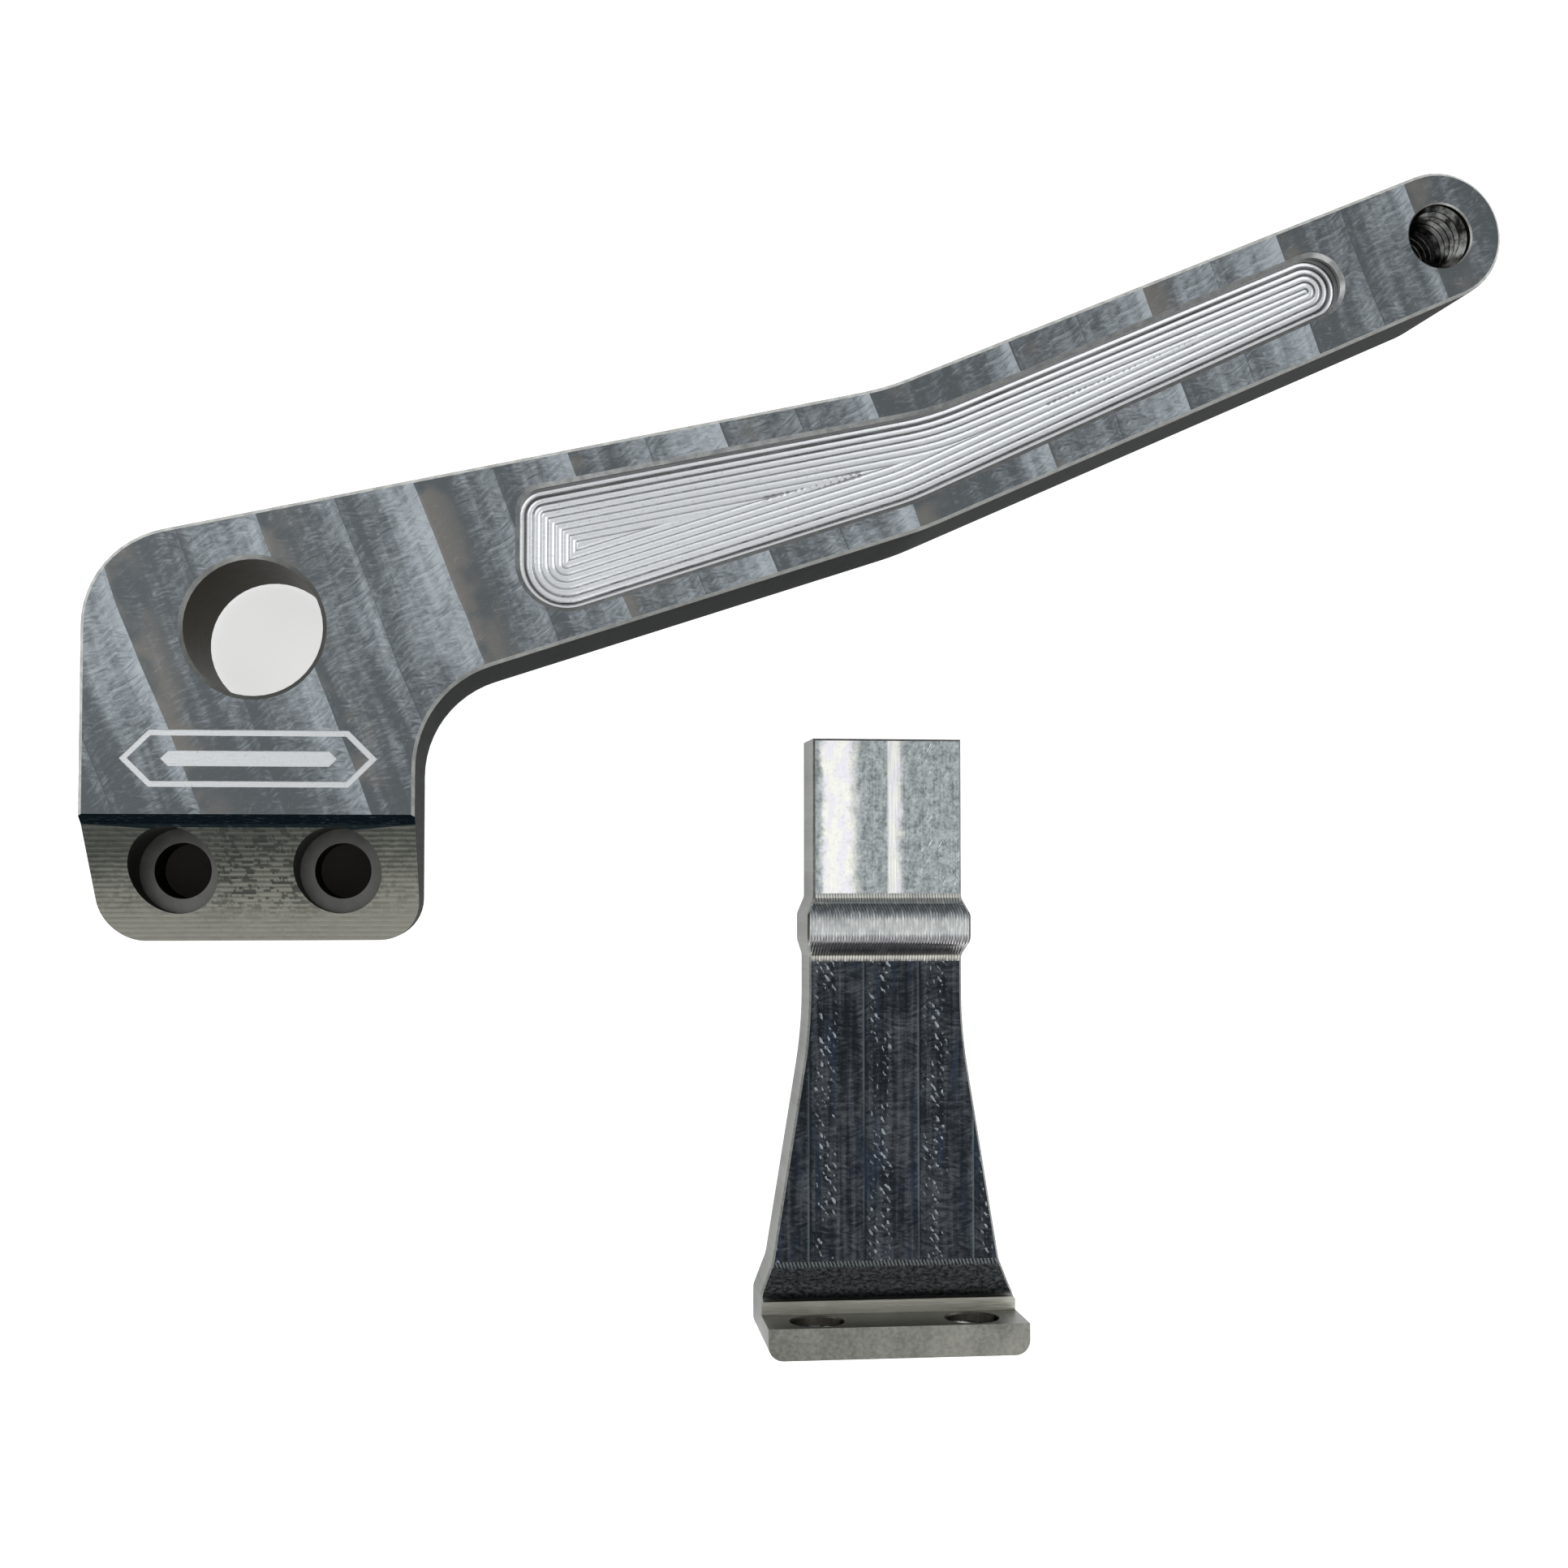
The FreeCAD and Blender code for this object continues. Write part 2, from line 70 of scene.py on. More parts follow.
LEVER_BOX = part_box(LEVER_NODE)
BRACKET_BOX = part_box(BRACKET_NODE)
PLATE_TOP = LEVER_BOX[1].z
RECESS_DEPTH = 0.003
RECESS_FLOOR = PLATE_TOP - RECESS_DEPTH
ENGRAVING_DEPTH = 0.0003

PIVOT = Vector((0.0, 0.0))
PIVOT_REACH = 0.0087
PEG = Vector((0.14372, 0.05070))
PEG_MAJOR = 0.00397
BOLT_HOLES = (Vector((-0.009825, -0.0281)), Vector((0.009225, -0.0281)))
HEAD_SEAT_REACH = 0.0055
BEVEL_TOP = -0.0216
BEVEL_FOOT = -0.0227
RECESS_MARGIN = 0.0011

BRACKET_X = (BRACKET_BOX[0].x + BRACKET_BOX[1].x) / 2
BRACKET_FOOT = BRACKET_BOX[0].y
TAP_MAJOR = 0.003175
TAP_SPREAD = 0.009525
TAP_HEIGHT = 0.01415
FLANGE_THICKNESS = 0.0038
FLANGE_TOP = BRACKET_BOX[1].z
PANEL_HEIGHT = 0.0079
LEDGE_END = BRACKET_FOOT + 0.0098
RIDGE_START = BRACKET_FOOT + 0.0455
RIDGE_END = BRACKET_FOOT + 0.0556


# ---------------------------------------------------------------- sizes and colours


def mark_size(name, description, default, low=0.0):
    """A size property in metres with the settings that all the sizes share."""
    return bpy.props.FloatProperty(
        name=name,
        description=description,
        default=default,
        min=low,
        unit="LENGTH",
        precision=5,
    )


def metal_colour(name, default):
    """A colour property that is labelled with its own name."""
    return bpy.props.FloatVectorProperty(
        name=name.replace("_", " ").capitalize(),
        default=default,
        size=3,
        min=0.0,
        max=1.0,
        subtype="COLOR",
    )


class LeverSizes(bpy.types.PropertyGroup):
    """Sizes of the tool marks and threads"""

    groove_pitch: mark_size("Groove pitch", "Step between rings in the recess", 0.00083, 0.0003)
    groove_depth: mark_size("Groove depth", "Height of the crests between two rings", 0.00012)
    peg_pitch: mark_size("Peg thread pitch", "Pitch of the thread in the tip", 0.001411, 0.0005)
    peg_minor: mark_size("Peg thread minor radius", "Radius at its crests", 0.00325, 0.001)
    tap_pitch: mark_size("Flange thread pitch", "Pitch of the flange's threads", 0.00127, 0.0005)
    tap_minor: mark_size("Flange thread minor radius", "Radius at their crests", 0.00256, 0.001)
    tick_pitch: mark_size("Tick pitch", "Step between ticks across the ridge", 0.00036, 0.0001)
    tick_depth: mark_size("Tick depth", "Height of the ticks across the ridge", 0.00008)
    pass_width: mark_size("Face mill pass", "Width of one pass over the lever", 0.0182, 0.002)


# Colours by surface; pale and deep are the two ends of a surface's grain.
COLOURS = {
    # The lever: shadow is its steep bevel, peg and tap are the threads.
    "face_pale": (0.37, 0.41, 0.44),
    "face_deep": (0.086, 0.097, 0.104),
    "face_warm": (0.20, 0.185, 0.165),
    "silver": (0.66, 0.68, 0.69),
    "silver_shade": (0.36, 0.38, 0.40),
    "crest": (0.16, 0.165, 0.175),
    "wall_pale": (0.45, 0.46, 0.46),
    "rim_pale": (0.52, 0.53, 0.52),
    "rim_deep": (0.30, 0.31, 0.31),
    "edge_pale": (0.42, 0.43, 0.41),
    "edge_deep": (0.28, 0.285, 0.275),
    "side_pale": (0.34, 0.35, 0.345),
    "side_deep": (0.15, 0.155, 0.155),
    # Painted shade on the lever's side walls that face one way.
    "side_shade": (0.026, 0.029, 0.031),
    "foot_pale": (0.205, 0.205, 0.175),
    "foot_deep": (0.052, 0.056, 0.048),
    "foot_dash": (0.030, 0.032, 0.029),
    # Painted shade on the steep bevel.
    "shadow": (0.012, 0.017, 0.02),
    "shadow_dash": (0.07, 0.08, 0.09),
    # Painted shade inside the bores, the tap holes and the recess walls.
    "bore": (0.048, 0.046, 0.040),
    "bore_pale": (0.20, 0.19, 0.165),
    # Painted shade in the bolt holes and their counterbores.
    "seat_deep": (0.018, 0.018, 0.017),
    "seat_pale": (0.19, 0.19, 0.18),
    "peg_pale": (0.17, 0.175, 0.17),
    # Painted shade inside the tip's threaded hole.
    "peg_deep": (0.010, 0.010, 0.009),
    "tap_pale": (0.42, 0.42, 0.39),
    "tap_deep": (0.10, 0.10, 0.09),
    # The bracket: inner is the flange's wall, flank its sides, rib its broken edges.
    "cap": (0.44, 0.475, 0.48),
    "cap_deep": (0.10, 0.12, 0.125),
    # Painted glare in the cap's two bright bands.
    "cap_glare": (0.86, 0.87, 0.80),
    "cap_cool": (0.80, 0.79, 0.84),
    "cap_scratch": (0.90, 0.91, 0.90),
    "ridge_tick": (0.78, 0.78, 0.74),
    "ridge_cloud": (0.08, 0.09, 0.10),
    "ridge_gap": (0.035, 0.037, 0.042),
    "slate": (0.012, 0.015, 0.018),
    "slate_worn": (0.092, 0.102, 0.113),
    "slate_pale": (0.24, 0.27, 0.30),
    "slate_glint": (0.10, 0.13, 0.15),
    "slate_navy": (0.020, 0.030, 0.055),
    "slate_pocket": (0.007, 0.008, 0.010),
    "ledge": (0.42, 0.42, 0.37),
    "ledge_line": (0.22, 0.22, 0.19),
    "scallop_deep": (0.010, 0.011, 0.012),
    "scallop_pale": (0.056, 0.061, 0.061),
    "scallop_tick": (0.15, 0.17, 0.18),
    "top_deep": (0.11, 0.11, 0.10),
    "top_pale": (0.25, 0.25, 0.225),
    "inner_deep": (0.06, 0.06, 0.054),
    "inner_pale": (0.15, 0.15, 0.135),
    "flank_deep": (0.16, 0.165, 0.16),
    "flank_pale": (0.33, 0.34, 0.325),
    "under_deep": (0.14, 0.15, 0.155),
    "under_pale": (0.32, 0.34, 0.35),
    "rib_pale": (0.60, 0.61, 0.58),
    "rib_deep": (0.26, 0.26, 0.24),
    # The stage.
    "floor": (0.92, 0.92, 0.92),
    "floor_mottle": (0.86, 0.86, 0.87),
    # Painted shade on the floor below the foot.
    "floor_dim": (0.05, 0.045, 0.04),
    "sky_low": (0.42, 0.425, 0.43),
}


class LeverColours(bpy.types.PropertyGroup):
    """Colours of the machined surfaces"""

    __annotations__ = {name: metal_colour(name, colour) for name, colour in COLOURS.items()}


# ---------------------------------------------------------------- shader maths


class Wire:
    """A socket that takes Python's arithmetic; each operation adds one node."""

    def __init__(self, finish, socket):
        self.finish = finish
        self.socket = socket

    def math(self, operation, *others):
        values = dict(enumerate((self, *others)))
        return self.finish.node("ShaderNodeMath", {"operation": operation}, values)

    def flipped(self, operation, other):
        values = {0: other, 1: self}
        return self.finish.node("ShaderNodeMath", {"operation": operation}, values)

    def __add__(self, other):
        return self.math("ADD", other)

    def __radd__(self, other):
        return self.flipped("ADD", other)

    def __sub__(self, other):
        return self.math("SUBTRACT", other)

    def __rsub__(self, other):
        return self.flipped("SUBTRACT", other)

    def __mul__(self, other):
        return self.math("MULTIPLY", other)

    def __truediv__(self, other):
        return self.math("DIVIDE", other)

    def fraction(self):
        return self.math("FRACT")

    def whole(self):
        return self.math("FLOOR")

    def size(self):
        return self.math("ABSOLUTE")

    def root(self):
        return self.math("SQRT")

    def at_least(self, low):
        return self.math("MAXIMUM", low)

    def rise(self, start, end):
        """0 at start and 1 at end, with soft shoulders."""
        values = {"Value": self, "From Min": start, "From Max": end}
        settings = {"interpolation_type": "SMOOTHSTEP"}
        return self.finish.node("ShaderNodeMapRange", settings, values)


# Sockets of a Mix node that mixes colours.
MIX_FACTOR = 0
MIX_FIRST = 6
MIX_SECOND = 7
MIX_RESULT = 2


class Web:
    """A node tree that nodes are added to."""

    def __init__(self, tree):
        self.tree = tree
        self.tree.nodes.clear()

    def node(self, kind, settings=None, values=None, output=0):
        """Adds a node: its settings first, then the values or links of its sockets."""
        made = self.tree.nodes.new(kind)
        for key, setting in (settings or {}).items():
            if key == "stops":
                self.lay_stops(made.color_ramp.elements, setting)
            else:
                setattr(made, key, setting)
        for key, value in (values or {}).items():
            if isinstance(value, Wire):
                self.tree.links.new(value.socket, made.inputs[key])
            else:
                made.inputs[key].default_value = value
        return Wire(self, made.outputs[output])

    @staticmethod
    def lay_stops(elements, stops):
        while len(elements) < len(stops):
            elements.new(1.0)
        for element, (place, colour) in zip(elements, stops):
            element.position = place
            element.color = (*colour, 1.0)

    def place(self):
        """The surface point in millimetres, as a vector and as x, y and z."""
        point = self.node("ShaderNodeTexCoord", output="Object")
        settings = {"operation": "SCALE"}
        scaled = self.node("ShaderNodeVectorMath", settings, {0: point, "Scale": 1 / MILLIMETRE})
        split = {"Vector": scaled}
        x = self.node("ShaderNodeSeparateXYZ", {}, split, "X")
        y = self.node("ShaderNodeSeparateXYZ", {}, split, "Y")
        z = self.node("ShaderNodeSeparateXYZ", {}, split, "Z")
        return scaled, x, y, z

    def joined(self, x, y, z=0.0):
        return self.node("ShaderNodeCombineXYZ", {}, {"X": x, "Y": y, "Z": z})

    def noise(self, vector, scale, detail=2.0, roughness=0.5, distortion=0.0):
        values = {
            "Vector": vector,
            "Scale": scale,
            "Detail": detail,
            "Roughness": roughness,
            "Distortion": distortion,
        }
        return self.node("ShaderNodeTexNoise", {"noise_dimensions": "3D"}, values, "Fac")

    def chance(self, value):
        """One steady random number for each whole value."""
        settings = {"noise_dimensions": "1D"}
        return self.node("ShaderNodeTexWhiteNoise", settings, {"W": value}, "Value")

    def blend(self, factor, first, second):
        """Two colours mixed by a factor; plain colours are taken as they are."""
        values = {
            MIX_FACTOR: factor,
            MIX_FIRST: self.opaque(first),
            MIX_SECOND: self.opaque(second),
        }
        return self.node("ShaderNodeMix", {"data_type": "RGBA"}, values, MIX_RESULT)

    @staticmethod
    def opaque(value):
        is_colour = not isinstance(value, (Wire, float, int))
        return (*value, 1.0) if is_colour else value

    def bump(self, height, distance, strength=1.0):
        values = {"Height": height, "Distance": distance, "Strength": strength}
        return self.node("ShaderNodeBump", {}, values)

    def close(self, kind, surface):
        """Joins a surface to the tree's output."""
        end = self.tree.nodes.new(kind)
        self.tree.links.new(surface.socket, end.inputs["Surface"])


PAPER_ROUGHNESS = 0.8
PAPER_GLOW = 0.6


class Finish(Web):
    """One material and the nodes that make its look."""

    def __init__(self, name):
        self.material = bpy.data.materials.new(name)
        self.material.use_nodes = True
        super().__init__(self.material.node_tree)

    def metal(self, colour, roughness, normal=None, grazing=1.0):
        """Closes the finish with bare metal; grazing is how white it turns edge-on."""
        values = {
            "Base Color": self.opaque(colour),
            "Roughness": roughness,
            "Metallic": 1.0,
            "Specular Tint": (grazing, grazing, grazing, 1.0),
        }
        if normal is not None:
            values["Normal"] = normal
        surface = self.node("ShaderNodeBsdfPrincipled", {}, values)
        self.close("ShaderNodeOutputMaterial", surface)
        return self.material

    def paper(self, colour, glow):
        """Closes the finish with a dull surface that gives off a little light."""
        values = {
            "Base Color": self.opaque(colour),
            "Roughness": PAPER_ROUGHNESS,
            "Emission Color": self.opaque(glow),
            "Emission Strength": PAPER_GLOW,
        }
        surface = self.node("ShaderNodeBsdfPrincipled", {}, values)
        self.close("ShaderNodeOutputMaterial", surface)
        return self.material


# ---------------------------------------------------------------- finishes of the lever

# The finishes measure in millimetres, but for the depth of their relief; the pieces
# measure in metres.

FAINT_RELIEF = 0.00001
FINE_RELIEF = 0.00002
LIGHT_RELIEF = 0.00003
CUT_RELIEF = 0.00004
CHATTER_RELIEF = 0.00005

PASS_ACROSS = Vector((0.93, 0.37))
PASS_START = 4.9
CUTTER_RADIUS = 9.0
SWIRL_ACROSS = 0.6
SWIRL_ALONG = 2.2
TIP_DARKENING = (118.0, 140.0)
CORNER_DARKENING = (-24.0, -8.0)
HAIR_ANGLES = (8.0, 78.0)


def swirl(finish, across, along, radius, seed):
    """Feathery arcs that a turning face mill leaves, as a value from 0 to 1."""
    offset = (radius * radius - across * across).at_least(1.0).root()
    wide = across * SWIRL_ACROSS
    near = finish.joined(wide, (along + offset) * SWIRL_ALONG, seed)
    near = finish.noise(near, 1.0, 4.0, 0.7, 0.5)
    far = finish.joined(wide, (along - offset) * SWIRL_ALONG, seed)
    far = finish.noise(far, 1.0, 4.0, 0.7, 0.5)
    patch = finish.noise(finish.joined(across, along, seed), 0.45, 2.0).rise(0.42, 0.58)
    return near * patch + far * (1.0 - patch)


def scratches(finish, x, y, angle, seed):
    """Thin straight hairlines lying at one angle, as a value from 0 to 1."""
    turn = math.radians(angle)
    run = x * math.cos(turn) + y * math.sin(turn)
    side = y * math.cos(turn) - x * math.sin(turn)
    grain = finish.noise(finish.joined(run * 0.5, side * 7.0, seed), 1.0, 2.0, 0.6)
    return grain.rise(0.62, 0.78)


def face_milled(name, colours, pass_width, seed):
    """Satin face with overlapping passes of a face mill."""
    finish = Finish(name)
    point, x, y, _ = finish.place()
    width = pass_width / MILLIMETRE
    waver = (finish.noise(point, 0.05) - 0.5) * 1.6
    across = x * PASS_ACROSS.x + y * PASS_ACROSS.y + waver
    along = y * PASS_ACROSS.x - x * PASS_ACROSS.y
    count = (across - PASS_START) / width
    part = count.fraction()
    number = count.whole()
    half = (part * 2.0).fraction()
    within = (half - 0.5) * (width / 2)
    arcs = swirl(finish, within, along, CUTTER_RADIUS, seed)
    cloud = finish.noise(point, 0.11, 3.0)
    streak = finish.noise(finish.joined(across, along * 0.06, number), 0.42, 3.0, 0.6)
    climb = part.rise(0.05, 1.0) * 0.28 + half.rise(0.0, 1.0) * 0.14
    lift = (finish.chance(number) - 0.5) * 0.20
    glow = part.rise(0.88, 0.97) * 0.15
    tone = climb + lift + glow + (streak - 0.5) * 1.05 + (cloud - 0.5) * 0.50 + 0.09
    tone = tone + (arcs - 0.5) * 1.35
    edge_line = (1.0 - part.rise(0.0, 0.022)) * 0.35 + (1.0 - half.rise(0.0, 0.03)) * 0.14
    # The face is darker towards the tip and towards the lower corner.
    tip = x.rise(*TIP_DARKENING) * 0.12
    corner = (1.0 - y.rise(*CORNER_DARKENING)) * 0.15
    tone = tone - edge_line - tip - corner
    base = finish.blend(tone.rise(0.02, 0.98), colours.face_deep, colours.face_pale)
    warmth = (1.0 - part.rise(0.02, 0.30)) * finish.noise(point, 0.16, 2.0).rise(0.44, 0.62)
    base = finish.blend(warmth * 0.55, base, colours.face_warm)
    flat, steep = HAIR_ANGLES
    hair = scratches(finish, x, y, flat, seed) * 0.5
    hair = hair + scratches(finish, x, y, steep, seed + 3.0) * 0.4
    base = finish.blend(hair * 0.45, base, colours.face_pale)
    relief = arcs * 0.8 + hair * 0.3 - edge_line * 2.0
    normal = finish.bump(relief, CUT_RELIEF, 0.9)
    return finish.metal(base, 0.32 + arcs * 0.18, normal)


def bright_cut(name, colours, crest=None):
    """Silver of the recess and the engraving; crest is a band of heights that is darker."""
    finish = Finish(name)
    point, x, y, z = finish.place()
    grain = finish.noise(finish.joined(x * 0.6, y * 5.0), 1.0, 3.0, 0.6)
    speck = finish.noise(point, 3.2, 2.0).rise(0.60, 0.72)
    tone = grain * 0.50 + speck * 0.30
    base = finish.blend(tone, colours.silver, colours.silver_shade)
    if crest:
        line = z.rise(*crest) * (0.55 + grain * 0.6)
        base = finish.blend(line, base, colours.crest)
    normal = finish.bump(grain, FINE_RELIEF, 0.6)
    return finish.metal(base, 0.18 + grain * 0.12, normal)


def recess_wall(name, colours):
    """Recess walls: metal darkened with painted shade, with lines that run the long way round.
    """
    finish = Finish(name)
    point, x, y, z = finish.place()
    lines = finish.noise(finish.joined(x * 0.08, y * 0.08, z * 5.0), 1.0, 2.0, 0.6)
    cloud = finish.noise(point, 0.35, 3.0)
    tone = lines.rise(0.35, 0.70) * 0.6 + (cloud - 0.5) * 0.5
    base = finish.blend(tone, colours.bore, colours.wall_pale)
    normal = finish.bump(lines, LIGHT_RELIEF, 0.6)
    return finish.metal(base, 0.22 + cloud * 0.12, normal, 0.6)


FOOT_FALL = (-22.7, -36.6)
FOOT_LINES = 1.65
FOOT_DASH_END = (-30.0, -34.5)
FOOT_MIDDLE = 0.3


def slanted_foot(name, colours):
    """Stepped finishing lines and dash chatter on the slanted foot."""
    finish = Finish(name)
    point, x, y, _ = finish.place()
    fall = y.rise(*FOOT_FALL)
    line = (y * FOOT_LINES).fraction()
    groove = (line - 0.5).size() * 2.0
    number = (y * (2 * FOOT_LINES)).whole()
    dash = finish.noise(finish.joined(x * 0.55, number * 3.7), 1.0, 3.0, 0.7)
    band = 1.0 - y.rise(*FOOT_DASH_END) * 0.85
    middle = (x + FOOT_MIDDLE).size()
    centre = 1.0 - middle.rise(2.0, 17.0) * 0.6
    chatter = dash.rise(0.48, 0.56) * band * centre
    cloud = finish.noise(point, 0.2, 3.0)
    right = x.rise(0.0, 20.0)
    tone = fall * 0.95 + (cloud - 0.5) * 0.5 + groove * 0.50 + right * 0.15 - 0.18
    base = finish.blend(tone.rise(0.0, 1.0), colours.foot_deep, colours.foot_pale)
    base = finish.blend(chatter * 0.85, base, colours.foot_dash)
    relief = groove * 0.7 + dash * 0.5
    normal = finish.bump(relief, CUT_RELIEF, 0.7)
    return finish.metal(base, 0.36 + groove * 0.12, normal)


def shadow_metal(name, colours):
    """Painted shade on the steep bevel: nearly black metal with slim paler dashes."""
    finish = Finish(name)
    _, x, y, z = finish.place()
    dash = finish.noise(finish.joined(x * 0.9, y * 3.0, z * 3.0), 1.0, 2.0, 0.6)
    base = finish.blend(dash.rise(0.55, 0.75) * 0.5, colours.shadow, colours.shadow_dash)
    normal = finish.bump(dash, LIGHT_RELIEF, 0.6)
    return finish.metal(base, 0.30 + dash * 0.15, normal, 0.1)


def turned_bore(name, deep, pale):
    """Bore walls, dark with painted shade, with fine rings from the boring bar."""
    finish = Finish(name)
    point, x, y, z = finish.place()
    ring = finish.noise(finish.joined(x * 0.15, y * 0.15, z * 6.0), 1.0, 3.0, 0.6)
    cloud = finish.noise(point, 0.5, 2.0)
    base = finish.blend(ring * 0.6 + cloud * 0.3, deep, pale)
    normal = finish.bump(ring, LIGHT_RELIEF, 0.6)
    return finish.metal(base, 0.26 + cloud * 0.14, normal, 0.25)


# Painted shade falls on walls that face this way, fading in over this rise.
PAINTED_SHADE_WAY = Vector((0.55, -0.84))
PAINTED_SHADE_RISE = (0.15, 0.60)


def profiled_side(name, deep, pale, shade=None, grazing=1.0):
    """Walls cut by the flank of an end mill; the shade colour is painted shade on the walls that
    face PAINTED_SHADE_WAY.
    """
    finish = Finish(name)
    point, x, y, z = finish.place()
    upright = finish.noise(finish.joined(x * 2.2, y * 2.2, z * 0.03), 1.0, 3.0, 0.6)
    broad = finish.noise(finish.joined(x * 0.22, y * 0.22, z * 0.02), 1.0, 2.0, 0.5)
    step = finish.noise(finish.joined(x * 0.02, y * 0.02, z * 0.8), 1.0, 2.0, 0.5)
    cloud = finish.noise(point, 0.10, 2.0)
    tone = upright * 0.50 + broad * 0.40 + step * 0.10 + (cloud - 0.5) * 0.20
    base = finish.blend(tone.rise(0.25, 0.75), deep, pale)
    if shade:
        # Painted shade on the walls that face PAINTED_SHADE_WAY, chosen by their own normals.
        out = {"Vector": finish.node("ShaderNodeTexCoord", output="Normal")}
        out_x = finish.node("ShaderNodeSeparateXYZ", {}, out, "X")
        out_y = finish.node("ShaderNodeSeparateXYZ", {}, out, "Y")
        painted_shade_mask = (out_x * PAINTED_SHADE_WAY.x + out_y * PAINTED_SHADE_WAY.y).rise(*PAINTED_SHADE_RISE)
        base = finish.blend(painted_shade_mask * (1.0 - upright * 0.25), base, shade)
    normal = finish.bump(upright * 0.8 + step * 0.2, LIGHT_RELIEF, 0.6)
    return finish.metal(base, 0.32 + upright * 0.14, normal, grazing)


def broken_edge(name, pale, deep):
    """Thin bright chamfers round a profile."""
    finish = Finish(name)
    point, _, _, _ = finish.place()
    grain = finish.noise(point, 0.9, 3.0, 0.6)
    base = finish.blend(grain.rise(0.25, 0.75), pale, deep)
    return finish.metal(base, 0.24 + grain * 0.2, finish.bump(grain, FINE_RELIEF, 0.5))


# ---------------------------------------------------------------- finishes of the bracket


CAP_WIDTH = 18.7
FIRST_GLARE_BAND = ((0.03, 0.09), (0.22, 0.34))
SECOND_GLARE_BAND = ((0.49, 0.515), (0.56, 0.62))
CAP_SCRATCHED = (0.6, 0.8)


def ground_cap(name, colours):
    """Ground pad with two bands of painted glare, fine lines and stray scratches."""
    finish = Finish(name)
    point, x, y, _ = finish.place()
    inset = (x - BRACKET_X / MILLIMETRE) / CAP_WIDTH + 0.5
    ragged = inset + (finish.noise(point, 0.55, 3.0, 0.6) - 0.5) * 0.10
    grit = finish.noise(point, 2.6, 3.0, 0.7)
    start, end = FIRST_GLARE_BAND
    first = ragged.rise(*start) * (1.0 - ragged.rise(*end))
    start, end = SECOND_GLARE_BAND
    second = inset.rise(*start) * (1.0 - ragged.rise(*end))
    lines = finish.noise(finish.joined(x * 5.0, y * 0.12), 1.0, 2.0, 0.6)
    mottle = finish.noise(finish.joined(x * 1.0, y * 0.7), 1.0, 4.0, 0.7)
    tone = grit.rise(0.30, 0.70) * 0.45 + lines.rise(0.30, 0.70) * 0.20
    tone = tone + mottle.rise(0.34, 0.66) * 0.45
    base = finish.blend(tone, colours.cap_deep, colours.cap)
    # Painted glare, laid in two bands across the pad.
    tint = finish.noise(finish.joined(x * 0.8, y * 0.35), 1.0, 2.0).rise(0.40, 0.60)
    glare = finish.blend(tint, colours.cap_glare, colours.cap_cool)
    base = finish.blend(first * (0.55 + grit * 0.9), base, glare)
    base = finish.blend(second * (0.25 + lines * 1.1), base, glare)
    hair = scratches(finish, x, y, 62.0, 2.0) + scratches(finish, x, y, 118.0, 5.0) * 0.6
    hair = hair * inset.rise(*CAP_SCRATCHED) * finish.noise(point, 0.25, 2.0).rise(0.42, 0.50)
    base = finish.blend(hair, base, colours.cap_scratch)
    normal = finish.bump(lines * 0.6 + grit * 0.3 + hair, FINE_RELIEF, 0.8)
    return finish.metal(base, 0.26 + grit * 0.16, normal)


PANEL_WIDTH = 19.3
PANEL_LANES = 2.78
CHATTER_LINES = 0.68
CHATTER_COLUMN = 0.30


def chattered_panel(name, colours):
    """Dark slate panel in three lengthwise passes, with columns of slant chatter."""
    finish = Finish(name)
    point, x, y, _ = finish.place()
    side = (x - BRACKET_X / MILLIMETRE) / PANEL_WIDTH + 0.5
    lane = side * PANEL_LANES
    part = lane.fraction()
    number = lane.whole()
    turned = finish.joined(part * 19.2, y * 0.35, number)
    arcs = swirl(finish, (part - 0.5) * 7.0, y, 8.0, 4.0)
    cloud = finish.noise(point, 0.16, 3.0)
    streak = finish.noise(finish.joined(x * 1.3, y * 0.05), 1.0, 3.0, 0.6)
    column = (part - CHATTER_COLUMN + (cloud - 0.5) * 0.3).size()
    in_column = 1.0 - column.rise(0.06, 0.30)
    sway = finish.noise(point, 0.45, 3.0, 0.7) * 1.5
    beat = y * CHATTER_LINES
    slant = (beat + part * 7.0 + sway).fraction()
    counter = (beat - part * 2.0 - sway * 0.6).fraction()
    weave = slant.rise(0.55, 0.82) * counter.rise(0.12, 0.50)
    broken = finish.noise(finish.joined(x * 1.0, y * 0.7), 1.0, 3.0, 0.7).rise(0.42, 0.54)
    patchy = finish.noise(turned, 0.6, 3.0).rise(0.42, 0.60) * broken
    chatter = weave * in_column * patchy
    tone = (streak - 0.5) * 1.1 + (cloud - 0.5) * 0.7 + (arcs - 0.5) * 1.6 + 0.26
    tone = tone - (1.0 - part.rise(0.0, 0.05)) * 0.25
    base = finish.blend(tone.rise(0.0, 0.9), colours.slate, colours.slate_worn)
    glint = part.rise(0.955, 0.985) * streak.rise(0.35, 0.6)
    base = finish.blend(glint * 0.55, base, colours.slate_glint)
    navy = finish.noise(finish.joined(x * 0.9, y * 0.07), 1.0, 2.0).rise(0.54, 0.70)
    base = finish.blend(navy * 0.45, base, colours.slate_navy)
    base = finish.blend(chatter.rise(0.0, 0.7), base, colours.slate_pale)
    pocket = (1.0 - slant.rise(0.0, 0.25)) * in_column * patchy
    base = finish.blend(pocket * 0.6, base, colours.slate_pocket)
    relief = arcs * 0.6 + chatter * 1.2 - pocket * 0.8
    normal = finish.bump(relief, CHATTER_RELIEF, 0.8)
    return finish.metal(base, 0.30 + arcs * 0.18, normal)


